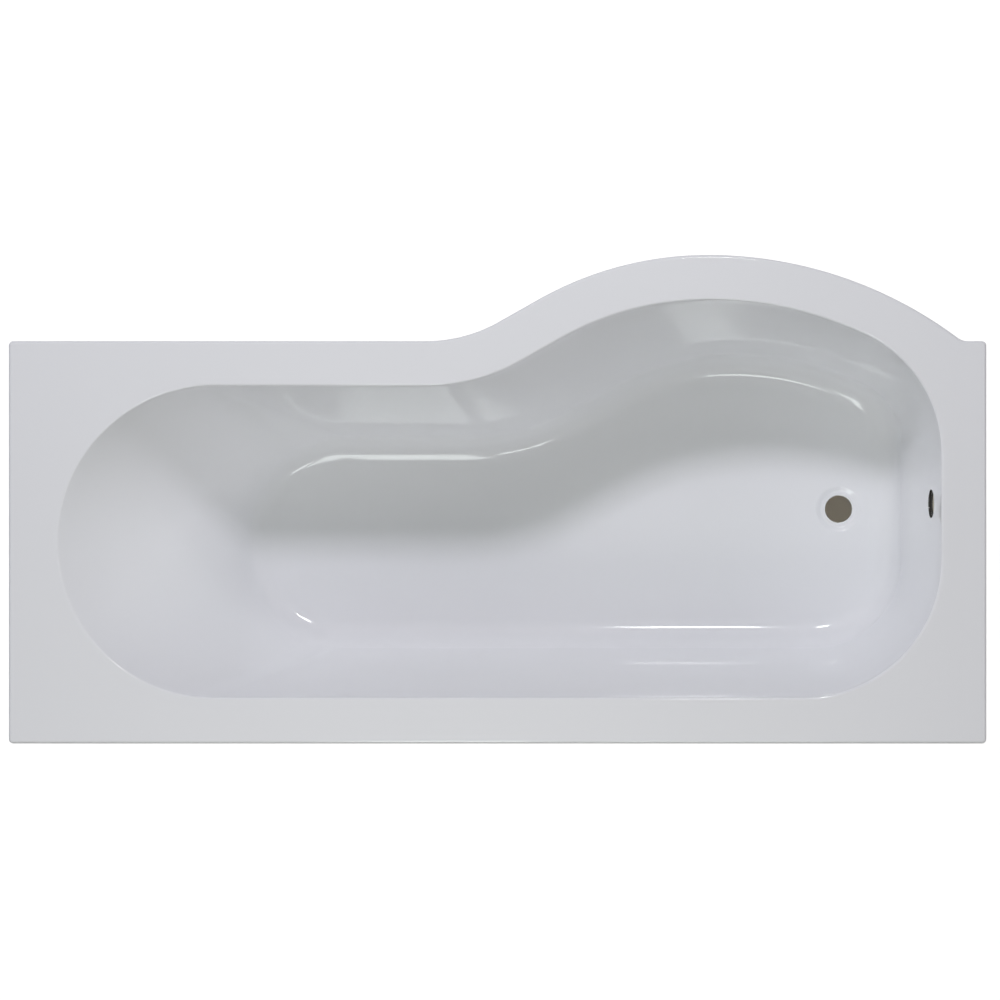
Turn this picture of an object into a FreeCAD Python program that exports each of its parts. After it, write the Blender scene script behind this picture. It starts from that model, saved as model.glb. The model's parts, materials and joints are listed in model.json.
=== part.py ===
import FreeCAD, Part
import math
import os
from FreeCAD import Rotation, Vector

# A left-hand shower bath, P-shaped in plan, as it is delivered: an acrylic moulding stiffened from
# behind with glass fibre, timber under the rim, a laminated base board and five screw legs.
# Millimetres and degrees. X runs from the head end to the tap end, Y from the wall to the open
# side, and Z up from the ground that the bath stands on. The origin is under the middle of the rim.

# Overall sizes
bath_length = 1700.0
narrow_width = 700.0
bulge_width = 850.0
standing_height = 560.0

# Rim: its width at each side, its turned-down lip and the rounding of its edges
head_rim = 85.0
tap_rim = 78.0
wall_rim = 80.0
front_rim = 78.0
lip_depth = 38.0
rim_corner_radius = 8.0
rim_outer_round = 5.0
rim_inner_round = 10.0

# Bulge: tangent arcs along the rim's outer edge, and the short flat beside the tap end
peak_from_tap = 484.0
hollow_radius = 260.0
sweep_straight = 78.0
lead_radius = 600.0
stub_fillet = 30.0
stub_length = 32.0
trail_follow_share = 0.6806

# Well: slopes are measured from the vertical
well_depth = 395.0
front_slope = 13.0
wall_slope = 11.7
tap_slope = 5.8
head_slope = 39.0
tap_front_radius = 229.0
tap_wall_radius = 241.0
floor_corner_radius = 150.0
floor_peak_shift = 68.0
floor_round = 54.0
floor_fall = 6.0

# Laminate and base board
acrylic_thickness = 5.0
bond_line = 0.2
coat_thickness = 3.0
board_thickness = 15.0

# Waste hole in its dish, and overflow hole in the tap end
waste_from_tap = 224.0
waste_y = -18.0
waste_radius = 25.0
dish_radius = 43.0
dish_side = 12.0
dish_depth = 3.0
waste_room = 75.0
overflow_depth = 90.0
overflow_y = -8.0
overflow_radius = 25.0

# Rim battens
batten_width = 40.0
batten_lip_gap = 2.0
panel_gap = 20.0
batten_end_room = 140.0
front_batten_room = 20.0
bulge_batten_reach = 330.0
batten_edge_round = 3.0

# Cross rails, which are channels with their flanges down, and the centre bracket, a top hat
steel = 2.0
bend_radius = 4.0
rail_width = 40.0
rail_depth = 25.0
rail_overhang = 30.0
rail_end_bevel = 14.0
head_rail_from_head = 590.0
tap_rail_from_tap = 410.0
bracket_flange = 28.0
bracket_crown = 50.0
bracket_width = 40.0

# Legs
foot_inset = 80.0
bulge_foot_inset = 90.0
leg_travel = 20.0
stud_radius = 5.0
stud_margin = 5.0
stud_point = 1.2
stud_hole_play = 0.6
thread_play = 0.15
nut_across_flats = 17.0
nut_height = 8.0
nut_seat_gap = 0.2
nut_chamfer = 1.0
foot_radius = 26.0
foot_rim_height = 6.0
foot_height = 34.0
foot_boss_radius = 11.0
foot_base = 8.0
foot_edge = 1.5
foot_rib_count = 6
foot_rib_thickness = 2.6
foot_rib_drop = 6.0
socket_play = 0.1

# Screws
screw_radius = 2.4
screw_length = 12.0
screw_point = 3.0
screw_head_radius = 4.6
screw_head_height = 2.6
screw_play = 0.1
rail_screw_count = 4
rail_screw_edge = 40.0

# Wall brackets
wall_bracket_spacing = 900.0
wall_bracket_width = 32.0
wall_bracket_reach = 52.0
wall_bracket_drop = 62.0
wall_slot_radius = 3.25
wall_slot_length = 18.0
wall_slot_drop = 34.0
bracket_screw_spread = 18.0

# One overrun serves all cuts
overrun = 4.0

# Places worked out from the sizes above
head_end = -bath_length / 2
tap_end = bath_length / 2
wall_side = -bulge_width / 2
bulge_side = bulge_width / 2
front_side = wall_side + narrow_width
head_edge = head_end + head_rim
tap_edge = tap_end - tap_rim
wall_edge = wall_side + wall_rim
front_edge = front_side - front_rim
peak_x = tap_end - peak_from_tap
lip_bottom = standing_height - lip_depth
coat_offset = acrylic_thickness + bond_line
coat_outside = coat_offset + coat_thickness
coat_bottom = standing_height - well_depth - coat_outside
board_bottom = coat_bottom - board_thickness
batten_top = standing_height - coat_outside
waste_x = tap_end - waste_from_tap
floor_tap = tap_edge - well_depth * math.tan(math.radians(tap_slope))
floor_head = head_edge + well_depth * math.tan(math.radians(head_slope))
floor_tilt = math.degrees(math.atan(floor_fall / (floor_tap - floor_head)))
head_rail_x = head_end + head_rail_from_head
tap_rail_x = tap_end - tap_rail_from_tap
stud_above = leg_travel + stud_margin

# The bulge rises from the narrow edge over a hollow arc, a straight and a lead arc
bulge_rise = bulge_width - narrow_width
sweep_radii = hollow_radius + lead_radius
sweep_drop = 2 * sweep_radii - bulge_rise
sweep_reach = math.sqrt(sweep_straight ** 2 + bulge_rise * sweep_drop)
sweep_angle = 2 * math.atan((sweep_reach - sweep_straight) / sweep_drop)
sweep_turn = math.degrees(sweep_angle)
sweep_run = sweep_radii * math.sin(sweep_angle) + sweep_straight * math.cos(sweep_angle)
start_x = peak_x - sweep_run

# Past its peak it falls back along a trail arc, which ends in a fillet beside a short flat
trail_run = tap_end - stub_length - peak_x
trail_turn = math.degrees(2 * math.atan(bulge_rise / trail_run))
trail_radius = (trail_run ** 2 + bulge_rise ** 2) / (2 * bulge_rise) - stub_fillet

# The well turns with the trail arc part of the way, on an arc that meets the corner at the tap end
well_trail = math.radians(trail_turn * trail_follow_share)
trail_sine = math.sin(well_trail)
well_trail_radius = (tap_edge - peak_x - tap_front_radius * (1 - trail_sine)) / trail_sine


class Path:
    """A chain of tangent lines and arcs in plan, from a start point and a heading in degrees."""

    def __init__(self, x, y, heading):
        self.at = Vector(x, y, 0)
        self.heading = heading
        self.edges = []

    def line(self, length):
        end = self.at + Rotation(Vector(0, 0, 1), self.heading).multVec(Vector(length, 0, 0))
        self.edges.append(Part.LineSegment(self.at, end).toShape())
        self.at = end
        return self

    def arc(self, radius, turn):
        """Turn on the given radius, to the left where the angle is positive."""
        across = Vector(0, math.copysign(radius, turn), 0)
        centre = self.at + Rotation(Vector(0, 0, 1), self.heading).multVec(across)
        halfway, end = (
            centre + Rotation(Vector(0, 0, 1), angle).multVec(self.at - centre)
            for angle in (turn / 2, turn)
        )
        self.edges.append(Part.Arc(self.at, halfway, end).toShape())
        self.at = end
        self.heading += turn
        return self

    def wire(self, height=0):
        wire = Part.Wire(self.edges)
        wire.translate(Vector(0, 0, height))
        return wire


def box(low, high):
    size = high - low
    return Part.makeBox(size.x, size.y, size.z, low)


def prism(wire, low, high):
    """A plan outline carried up from one height to another."""
    face = Part.Face(wire)
    face.translate(Vector(0, 0, low - wire.BoundBox.ZMin))
    return face.extrude(Vector(0, 0, high - low))


def revolve(points):
    """A solid turned about Z from its half profile of (radius, height) points."""
    corners = [Vector(radius, 0, height) for radius, height in points]
    face = Part.Face(Part.makePolygon(corners + corners[:1]))
    return face.revolve(Vector(0, 0, 0), Vector(0, 0, 1), 360)


def moved(shape, x, y, z):
    shape = shape.copy()
    shape.translate(Vector(x, y, z))
    return shape


def rim_wire():
    """The rim's outer edge in plan, clockwise from the head corner of the open side."""
    corner = rim_corner_radius
    path = Path(head_end + corner, front_side, 0)
    path.line(start_x - head_end - corner)
    path.arc(hollow_radius, sweep_turn).line(sweep_straight).arc(lead_radius, -sweep_turn)
    path.arc(trail_radius, -trail_turn).arc(stub_fillet, trail_turn)
    path.line(stub_length - corner).arc(corner, -90)
    path.line(narrow_width - 2 * corner).arc(corner, -90)
    path.line(bath_length - 2 * corner).arc(corner, -90)
    path.line(narrow_width - 2 * corner).arc(corner, -90)
    return path.wire()


def well_wire(depth, offset):
    """The well's plan outline this deep below the rim, grown by an offset square to its walls.

    Each arc turns by the same angle at every depth, so the walls between two outlines stay tangent.
    """

    def grow(slope):
        angle = math.radians(slope)
        return offset / math.cos(angle) - depth * math.tan(angle)

    front = front_edge + grow(front_slope)
    wall = wall_edge - grow(wall_slope)
    tap = tap_edge + grow(tap_slope)
    head = head_edge - grow(head_slope)
    inset = front_side - front
    depth_share = depth / well_depth
    peak = peak_x + floor_peak_shift * depth_share
    trail = well_trail_radius + front_rim - inset
    tap_front = (tap - peak - trail * trail_sine) / (1 - trail_sine)
    tap_wall = tap_wall_radius + offset - (tap_wall_radius - floor_corner_radius) * depth_share
    head_arc = (front - wall) / 2
    tap_top = (
        front
        + bulge_rise
        - trail * (1 - math.cos(well_trail))
        - tap_front * math.cos(well_trail)
    )
    turn = math.degrees(well_trail)
    path = Path(head + head_arc, front, 0)
    path.line(peak - sweep_run - head - head_arc)
    path.arc(hollow_radius + inset, sweep_turn).line(sweep_straight)
    path.arc(lead_radius - inset, -sweep_turn).arc(trail, -turn).arc(tap_front, turn - 90)
    path.line(tap_top - wall - tap_wall).arc(tap_wall, -90)
    path.line(tap - tap_wall - head - head_arc).arc(head_arc, -90).arc(head_arc, -90)
    return path.wire(standing_height - depth)


def well_solid(top_depth, offset, tilt):
    """The space inside the well's walls, grown by an offset, with the floor's edge rounded."""
    depth = well_depth + offset
    low = well_wire(depth, offset)
    low.rotate(Vector(floor_tap, 0, standing_height - depth), Vector(0, 1, 0), tilt)
    solid = Part.makeLoft([well_wire(top_depth, offset), low], True, True)
    floor_edges = [
        edge for edge in solid.Edges if edge.BoundBox.ZMax < standing_height - depth / 2
    ]
    return solid.makeFillet(floor_round + offset, floor_edges)


def floor_height(x):
    """The height of the well's floor at a distance along the bath."""
    return standing_height - well_depth + (floor_tap - x) * math.tan(math.radians(floor_tilt))


def dish(offset):
    """The cone of the waste dish, grown by an offset like the floor around it."""
    bottom = floor_height(waste_x) - dish_depth - offset
    bottom_radius = dish_radius - dish_side + offset
    height = dish_depth + overrun
    top_radius = bottom_radius + height * dish_side / dish_depth
    return Part.makeCone(bottom_radius, top_radius, height, Vector(waste_x, waste_y, bottom))


def overflow_cut():
    """The overflow's bore, square to the tap end wall."""
    slope = math.radians(tap_slope)
    outward = Vector(math.cos(slope), 0, -math.sin(slope))
    x = tap_edge - overflow_depth * math.tan(slope)
    start = Vector(x, overflow_y, standing_height - overflow_depth) - outward * overrun
    return Part.makeCylinder(overflow_radius, coat_outside + 2 * overrun, start, outward)


def waste_cut():
    bottom = coat_bottom - dish_depth - overrun
    height = floor_height(waste_x) + overrun - bottom
    return Part.makeCylinder(waste_radius, height, Vector(waste_x, waste_y, bottom))


def rim_inset(distance, low, high):
    """A prism of the rim's outline, drawn in from its outer edge."""
    return prism(rim_wire().makeOffset2D(-distance), low, high)


def acrylic_shell():
    """The moulding: flat rim with a turned-down lip, and a well that lofts down to the floor."""
    rim = prism(rim_wire(), lip_bottom, standing_height)
    under_rim = rim_inset(
        acrylic_thickness, lip_bottom - overrun, standing_height - acrylic_thickness
    )
    tub = well_solid(acrylic_thickness / 2, acrylic_thickness, floor_tilt)
    tub = tub.fuse(dish(acrylic_thickness).common(below_floor()))
    shell = rim.cut(under_rim).fuse(tub).cut(well_solid(-overrun, 0, floor_tilt))
    shell = shell.cut([dish(0), waste_cut(), overflow_cut()]).removeSplitter()
    shell = round_top(shell, rim_inner_round, True)
    return round_top(shell, rim_outer_round, False).Solids[0]


def below_floor():
    """All the room under the well's floor near the waste."""
    reach = Vector(dish_radius, dish_radius, dish_radius)
    middle = Vector(waste_x, waste_y, floor_height(waste_x) - dish_radius)
    return box(middle - reach * 2, middle + reach)


def round_top(shell, radius, inner):
    """Round the rim's inner or outer edge where it meets the flat top."""
    top_edges = [
        edge
        for edge in shell.Edges
        if edge.BoundBox.ZMin > standing_height - bond_line and is_inner(edge) == inner
    ]
    return shell.makeFillet(radius, top_edges)


def is_inner(edge):
    """Whether an edge of the rim's top belongs to the well rather than to the outer edge."""
    middle = edge.valueAt((edge.FirstParameter + edge.LastParameter) / 2)
    return rim_wire().distToShape(Part.Vertex(middle.x, middle.y, 0))[0] > rim_outer_round * 2


def glass_fibre_coat():
    """The sprayed skin behind the well and under the rim; its underside is level for the board."""
    flange_top = standing_height - coat_offset
    flange = rim_inset(acrylic_thickness + bond_line, batten_top, flange_top)
    boss = dish(coat_outside).common(below_floor())
    coat = flange.fuse(well_solid(coat_offset, coat_outside, 0)).fuse(boss)
    hollow = well_solid(-overrun, coat_offset, floor_tilt)
    coat = coat.cut([hollow, dish(coat_offset), waste_cut(), overflow_cut()])
    return coat.removeSplitter().Solids[0]


def board_prism():
    """The base board's outline, drawn in from the floor's rounded edge and cut short of the waste."""
    depth = well_depth + coat_outside
    inset = -floor_round
    return prism(well_wire(depth, inset), board_bottom, coat_bottom).common(
        box(
            Vector(head_end, wall_side, board_bottom),
            Vector(waste_x - waste_room, bulge_side, coat_bottom),
        )
    )


def screw():
    """A pan-head wood screw, point up, with the underside of its head at the origin."""
    tip = screw_length - screw_point
    dome_share = 0.55
    return revolve(
        [
            (0, -screw_head_height),
            (screw_head_radius * dome_share, -screw_head_height),
            (screw_head_radius, -screw_head_height * dome_share),
            (screw_head_radius, 0),
            (screw_radius, 0),
            (screw_radius, tip),
            (0, screw_length),
        ]
    )


def screw_cut(place):
    """The hole that a screw passes through, from its seat up past its point."""
    radius = screw_radius + screw_play
    start = place - Vector(0, 0, overrun)
    return Part.makeCylinder(radius, screw_length + screw_play + overrun, start)


def spread(low, high, count):
    """Evenly spaced places from low to high, both included."""
    return [low + (high - low) * index / (count - 1) for index in range(count)]


def rail_screw_places(x, board_high):
    """Screw seats along a rail, between the edges of the board above it."""
    low = board_wall() + rail_screw_edge
    high = board_high - rail_screw_edge
    seat = board_bottom - steel
    return [Vector(x, y, seat) for y in spread(low, high, rail_screw_count)]


def board_wall():
    """The board's straight edge beside the wall."""
    return well_wire(well_depth + coat_outside, -floor_round).BoundBox.YMin


def board_bulge():
    """The board's furthest edge, under the bulge."""
    return well_wire(well_depth + coat_outside, -floor_round).BoundBox.YMax


def cross_rail(x, low_y, high_y, screws):
    """A channel with its flanges down, bevelled ends, two stud holes and its screw holes."""
    start = low_y - rail_overhang
    end = high_y + rail_overhang
    top = board_bottom
    half = rail_width / 2
    outer = box(Vector(x - half, start, top - rail_depth), Vector(x + half, end, top))
    outer = outer.makeFillet(bend_radius, long_edges(outer, top))
    roof = top - steel
    inner = box(
        Vector(x - half + steel, start - overrun, top - rail_depth - overrun),
        Vector(x + half - steel, end + overrun, roof),
    )
    inner = inner.makeFillet(bend_radius - steel, long_edges(inner, roof))
    rail = outer.cut(inner)
    cuts = [screw_cut(place) for place in screws]
    for y in (low_y, high_y):
        cuts.append(stud_cut(x, y, roof))
    for y, inward in ((start, 1), (end, -1)):
        cuts.append(end_bevel(x, y, inward))
    return rail.cut(cuts).Solids[0]


def long_edges(block, height):
    """The edges of a block that run along Y at a height."""
    return [
        edge
        for edge in block.Edges
        if abs(edge.CenterOfMass.z - height) < bond_line and edge.BoundBox.YLength > edge.BoundBox.XLength
    ]


def stud_cut(x, y, bottom):
    radius = stud_radius + stud_hole_play
    start = Vector(x, y, bottom - overrun)
    return Part.makeCylinder(radius, steel + 2 * overrun, start)


def end_bevel(x, y, inward):
    """The wedge taken off both flanges at one end of a rail."""
    bottom = board_bottom - rail_depth
    left = x - rail_width
    corners = [
        Vector(left, y - inward * overrun, bottom - overrun),
        Vector(left, y + inward * (rail_end_bevel + overrun), bottom - overrun),
        Vector(left, y - inward * overrun, bottom + rail_end_bevel + overrun),
    ]
    face = Part.Face(Part.makePolygon(corners + corners[:1]))
    return face.extrude(Vector(rail_width * 2, 0, 0))


def bracket_depth():
    """How far the centre bracket hangs, so that its stud never reaches the board."""
    return steel + nut_height + nut_seat_gap + stud_above + leg_travel + stud_margin


def centre_bracket(x, y):
    """A top hat of strip steel with its brim on the board and its crown below."""
    top = board_bottom
    crown = top - bracket_depth()
    half = bracket_crown / 2
    reach = half + bracket_flange
    outline = [
        (-reach, top),
        (-half + steel, top),
        (-half + steel, crown + steel),
        (half - steel, crown + steel),
        (half - steel, top),
        (reach, top),
        (reach, top - steel),
        (half, top - steel),
        (half, crown),
        (-half, crown),
        (-half, top - steel),
        (-reach, top - steel),
    ]
    corners = [Vector(x + across, y - bracket_width / 2, height) for across, height in outline]
    strip = Part.Face(Part.makePolygon(corners + corners[:1]))
    strip = strip.extrude(Vector(0, bracket_width, 0))
    strip = strip.makeFillet(bend_radius, bend_edges(strip, x, half, (top - steel, crown)))
    inner_half = half - steel
    bends = bend_edges(strip, x, inner_half, (top, crown + steel))
    strip = strip.makeFillet(bend_radius - steel, bends)
    cuts = [screw_cut(place) for place in centre_screw_places(x, y)]
    return strip.cut(cuts + [stud_cut(x, y, crown)]).Solids[0]


def bend_edges(strip, x, across, heights):
    """The edges along Y that stand this far to either side, at any of the heights."""
    found = []
    for edge in strip.Edges:
        middle = edge.CenterOfMass
        beside = abs(abs(middle.x - x) - across) < bond_line
        level = min(abs(middle.z - height) for height in heights) < bond_line
        if beside and level and edge.BoundBox.YLength > bracket_width / 2:
            found.append(edge)
    return found


def centre_screw_places(x, y):
    """Two screw seats in each brim of the centre bracket."""
    across = bracket_crown / 2 + bracket_flange / 2 + bend_radius / 2
    along = bracket_width / 4
    seat = board_bottom - steel
    return [
        Vector(x + side * across, y + end * along, seat) for side in (-1, 1) for end in (-1, 1)
    ]


def batten(low_x, low_y, high_x, high_y):
    """A straight timber strip under the rim, with its lower edges eased."""
    block = box(Vector(low_x, low_y, lip_bottom), Vector(high_x, high_y, batten_top))
    along_x = high_x - low_x > high_y - low_y
    lower = [
        edge
        for edge in block.Edges
        if edge.BoundBox.ZMax < lip_bottom + bond_line
        and (edge.BoundBox.XLength > edge.BoundBox.YLength) == along_x
    ]
    return block.makeChamfer(batten_edge_round, lower)


def bulge_batten():
    """The curved ply strip under the bulge, which follows the rim's outer edge."""
    outer = acrylic_thickness + panel_gap
    strip = rim_inset(outer, lip_bottom, batten_top)
    low_cut = lip_bottom - overrun
    high_cut = batten_top + overrun
    clear_of_coat = well_wire(coat_offset, coat_outside + batten_lip_gap)
    strip = strip.cut(
        [
            rim_inset(outer + batten_width, low_cut, high_cut),
            prism(clear_of_coat, low_cut, high_cut),
        ]
    )
    low = Vector(peak_x - bulge_batten_reach, 0, lip_bottom)
    high = Vector(peak_x + bulge_batten_reach, bulge_side, batten_top)
    return strip.common(box(low, high)).Solids[0]


def wall_bracket(x):
    """A strip-steel angle: screwed up under the wall batten, and slotted where it meets the wall."""
    half = wall_bracket_width / 2
    top = lip_bottom
    block = box(
        Vector(x - half, wall_side, top - wall_bracket_drop),
        Vector(x + half, wall_side + wall_bracket_reach, top),
    )
    inside = box(
        Vector(x - half - overrun, wall_side + steel, top - wall_bracket_drop - overrun),
        Vector(x + half + overrun, wall_side + wall_bracket_reach + overrun, top - steel),
    )
    angle = block.cut(inside)
    inner_bend = [
        edge
        for edge in angle.Edges
        if abs(edge.CenterOfMass.y - wall_side - steel) < bond_line
        and abs(edge.CenterOfMass.z - top + steel) < bond_line
    ]
    angle = angle.makeFillet(bend_radius - steel, inner_bend)
    cuts = [screw_cut(place) for place in wall_screw_places(x)]
    return angle.cut(cuts + [wall_slot(x)]).Solids[0]


def wall_slot(x):
    """A level slot through the bracket's face against the wall."""
    half_run = Vector(wall_slot_length / 2 - wall_slot_radius, 0, 0)
    middle = Vector(x, wall_side - overrun, lip_bottom - wall_slot_drop)
    through = steel + 2 * overrun
    ends = [
        Part.makeCylinder(wall_slot_radius, through, place, Vector(0, 1, 0))
        for place in (middle - half_run, middle + half_run)
    ]
    side = Vector(0, 0, wall_slot_radius)
    between = box(middle - half_run - side, middle + half_run + side + Vector(0, through, 0))
    return between.fuse(ends)


def wall_screw_places(x):
    """Two screw seats in a wall bracket, under the middle of the batten."""
    y = wall_side + acrylic_thickness + batten_lip_gap + batten_width / 2
    seat = lip_bottom - steel
    half = bracket_screw_spread / 2
    return [Vector(x - half, y, seat), Vector(x + half, y, seat)]


def nut(bottom):
    """A hexagon nut with its corners chamfered above and below."""
    corner = nut_across_flats / 2 / math.cos(math.radians(30))
    points = [
        Rotation(Vector(0, 0, 1), 60 * side).multVec(Vector(corner, 0, 0)) for side in range(6)
    ]
    hexagon = Part.Face(Part.makePolygon(points + points[:1])).extrude(Vector(0, 0, nut_height))
    flat = nut_across_flats / 2
    rounder = revolve(
        [
            (0, 0),
            (flat, 0),
            (corner, nut_chamfer),
            (corner, nut_height - nut_chamfer),
            (flat, nut_height),
            (0, nut_height),
        ]
    )
    bore = Part.makeCylinder(
        stud_radius + thread_play, nut_height + 2 * overrun, Vector(0, 0, -overrun)
    )
    return moved(hexagon.common(rounder).cut(bore), 0, 0, bottom)


def stud(top):
    """A leg's stud, from its seat in the foot to its chamfered tip."""
    return revolve(
        [
            (0, foot_base),
            (stud_radius, foot_base),
            (stud_radius, top - stud_point),
            (stud_radius - stud_point, top),
            (0, top),
        ]
    )


def foot():
    """A moulded foot: a round pad, a boss with a socket for the stud, and ribs between them."""
    socket = stud_radius + socket_play
    body = revolve(
        [
            (0, 0),
            (foot_radius - foot_edge, 0),
            (foot_radius, foot_edge),
            (foot_radius, foot_rim_height - foot_edge),
            (foot_radius - foot_edge, foot_rim_height),
            (foot_boss_radius, foot_rim_height),
            (foot_boss_radius, foot_height - foot_edge),
            (foot_boss_radius - foot_edge, foot_height),
            (socket, foot_height),
            (socket, foot_base),
            (0, foot_base),
        ]
    )
    half = foot_rib_thickness / 2
    root = (socket + foot_boss_radius) / 2
    reach = foot_radius - 2 * foot_edge
    profile = [
        Vector(root, -half, foot_rim_height / 2),
        Vector(reach, -half, foot_rim_height / 2),
        Vector(reach, -half, foot_rim_height),
        Vector(foot_boss_radius, -half, foot_height - foot_rib_drop),
        Vector(root, -half, foot_height - foot_rib_drop),
    ]
    rib = Part.Face(Part.makePolygon(profile + profile[:1]))
    rib = rib.extrude(Vector(0, foot_rib_thickness, 0))
    ribs = []
    for index in range(foot_rib_count):
        turned = rib.copy()
        turned.rotate(Vector(0, 0, 0), Vector(0, 0, 1), 360 * index / foot_rib_count)
        ribs.append(turned)
    return body.fuse(ribs).removeSplitter().Solids[0]


def leg_nodes(name, x, y, seat_top):
    """The four pieces of one leg, where seat_top is the upper face of the steel that carries it."""
    lock_bottom = seat_top + nut_seat_gap
    adjust_bottom = seat_top - steel - nut_seat_gap - nut_height
    stud_top = lock_bottom + nut_height + stud_above
    return {
        name + "_stud": moved(stud(stud_top), x, y, 0),
        name + "_foot": moved(foot(), x, y, 0),
        name + "_lock_nut": moved(nut(lock_bottom), x, y, 0),
        name + "_adjusting_nut": moved(nut(adjust_bottom), x, y, 0),
    }


def screws_at(places):
    """One group of separate screws."""
    return Part.makeCompound([moved(screw(), place.x, place.y, place.z) for place in places])


def batten_nodes():
    """The five strips under the rim."""
    gap = acrylic_thickness + batten_lip_gap
    open_gap = acrylic_thickness + panel_gap
    low_x = head_end + batten_end_room
    high_x = tap_end - batten_end_room
    low_y = wall_side + batten_end_room
    high_y = front_side - batten_end_room
    wall_low = wall_side + gap
    head_low = head_end + open_gap
    tap_high = tap_end - gap
    front_high = front_side - open_gap
    front_stop = min(start_x, peak_x - bulge_batten_reach) - front_batten_room
    places = [place for x in wall_bracket_places() for place in wall_screw_places(x)]
    wall = batten(low_x, wall_low, high_x, wall_low + batten_width)
    return {
        "wall_batten": wall.cut([screw_cut(place) for place in places]),
        "head_batten": batten(head_low, low_y, head_low + batten_width, high_y),
        "tap_batten": batten(tap_high - batten_width, low_y, tap_high, high_y),
        "front_batten": batten(low_x, front_high - batten_width, front_stop, front_high),
        "bulge_batten": bulge_batten(),
        "bracket_screws": screws_at(places),
    }


def wall_bracket_places():
    return [-wall_bracket_spacing / 2, wall_bracket_spacing / 2]


def undercarriage_nodes():
    """The base board, the steel under it, its screws and the five legs."""
    wall_foot = wall_side + foot_inset
    front_foot = front_side - foot_inset
    bulge_foot = bulge_side - bulge_foot_inset
    centre_x = (head_rail_x + tap_rail_x) / 2
    centre_y = (wall_foot + front_foot) / 2
    head_screws = rail_screw_places(head_rail_x, board_bulge() - bulge_rise)
    tap_screws = rail_screw_places(tap_rail_x, board_bulge())
    centre_screws = centre_screw_places(centre_x, centre_y)
    board = board_prism().cut([screw_cut(place) for place in head_screws + tap_screws + centre_screws])
    nodes = {
        "base_board": board.Solids[0],
        "head_rail": cross_rail(head_rail_x, wall_foot, front_foot, head_screws),
        "tap_rail": cross_rail(tap_rail_x, wall_foot, bulge_foot, tap_screws),
        "centre_bracket": centre_bracket(centre_x, centre_y),
        "rail_screws": screws_at(head_screws + tap_screws),
        "centre_screws": screws_at(centre_screws),
    }
    crown_top = board_bottom - bracket_depth() + steel
    legs = {
        "head_wall_leg": (head_rail_x, wall_foot, board_bottom),
        "head_front_leg": (head_rail_x, front_foot, board_bottom),
        "tap_wall_leg": (tap_rail_x, wall_foot, board_bottom),
        "tap_front_leg": (tap_rail_x, bulge_foot, board_bottom),
        "centre_leg": (centre_x, centre_y, crown_top),
    }
    for name, (x, y, seat_top) in legs.items():
        nodes.update(leg_nodes(name, x, y, seat_top))
    return nodes


def main():
    nodes = {
        "acrylic_shell": acrylic_shell(),
        "glass_fibre_coat": glass_fibre_coat(),
        "head_wall_bracket": wall_bracket(wall_bracket_places()[0]),
        "tap_wall_bracket": wall_bracket(wall_bracket_places()[1]),
    }
    nodes.update(batten_nodes())
    nodes.update(undercarriage_nodes())
    os.makedirs("parts", exist_ok=True)
    for name, shape in nodes.items():
        shape.exportStep("parts/" + name + ".step")
        print(name, len(shape.Solids), "solids", round(shape.Volume), shape.isValid())


main()
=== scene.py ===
"""The looks of a P-shaped shower bath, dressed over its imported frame.

Metres throughout, in the frame's axes: X from the head end to the tap end, Y from the wall to the
open side, and Z up from the ground that the bath stands on.
"""
from __future__ import annotations

import json
import logging
import math
from dataclasses import dataclass
from enum import Enum
from functools import reduce

import bpy
import numpy as np
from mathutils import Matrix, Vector

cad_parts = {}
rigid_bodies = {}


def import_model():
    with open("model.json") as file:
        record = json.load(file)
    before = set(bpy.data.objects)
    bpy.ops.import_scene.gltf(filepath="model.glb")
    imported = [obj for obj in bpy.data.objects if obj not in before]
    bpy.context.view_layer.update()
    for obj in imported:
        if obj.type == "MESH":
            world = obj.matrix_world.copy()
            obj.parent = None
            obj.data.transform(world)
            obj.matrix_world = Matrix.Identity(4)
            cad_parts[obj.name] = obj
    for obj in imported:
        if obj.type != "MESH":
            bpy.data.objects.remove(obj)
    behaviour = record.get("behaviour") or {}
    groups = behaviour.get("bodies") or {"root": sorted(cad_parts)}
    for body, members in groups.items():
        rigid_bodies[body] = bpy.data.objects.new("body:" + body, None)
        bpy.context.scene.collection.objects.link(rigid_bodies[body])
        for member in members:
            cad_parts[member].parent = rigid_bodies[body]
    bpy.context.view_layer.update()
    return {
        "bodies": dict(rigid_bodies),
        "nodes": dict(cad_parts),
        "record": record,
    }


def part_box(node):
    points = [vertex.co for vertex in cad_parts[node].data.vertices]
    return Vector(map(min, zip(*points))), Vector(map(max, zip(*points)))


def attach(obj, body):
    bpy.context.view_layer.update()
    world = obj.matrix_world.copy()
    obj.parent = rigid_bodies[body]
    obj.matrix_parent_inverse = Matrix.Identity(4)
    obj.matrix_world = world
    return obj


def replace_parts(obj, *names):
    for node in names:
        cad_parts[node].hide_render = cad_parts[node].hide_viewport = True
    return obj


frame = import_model()

Array = np.ndarray
Colour = tuple[float, float, float, float]
Triple = tuple[float, float, float]
Span = tuple[int, int]
log = logging.getLogger("shower_bath")

BATH_BODY = "bath"
MILLIMETRES = 1000


class Slot(Enum):
    """The record's material slots."""

    ACRYLIC = "acrylic"
    GLASS_FIBRE = "glass_fibre"
    CHIPBOARD = "chipboard"
    SOFTWOOD = "softwood"
    PLYWOOD = "plywood"
    ZINC_STEEL = "zinc_steel"
    SCREW_STEEL = "screw_steel"
    STUD_STEEL = "stud_steel"
    FOOT_PLASTIC = "foot_plastic"


class Grain(Enum):
    """Which way a timber's grain runs, as the stretch of its pattern along X, Y and Z."""

    ALONG_X = (0.06, 1.0, 1.0)
    ALONG_Y = (1.0, 0.06, 1.0)


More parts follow.
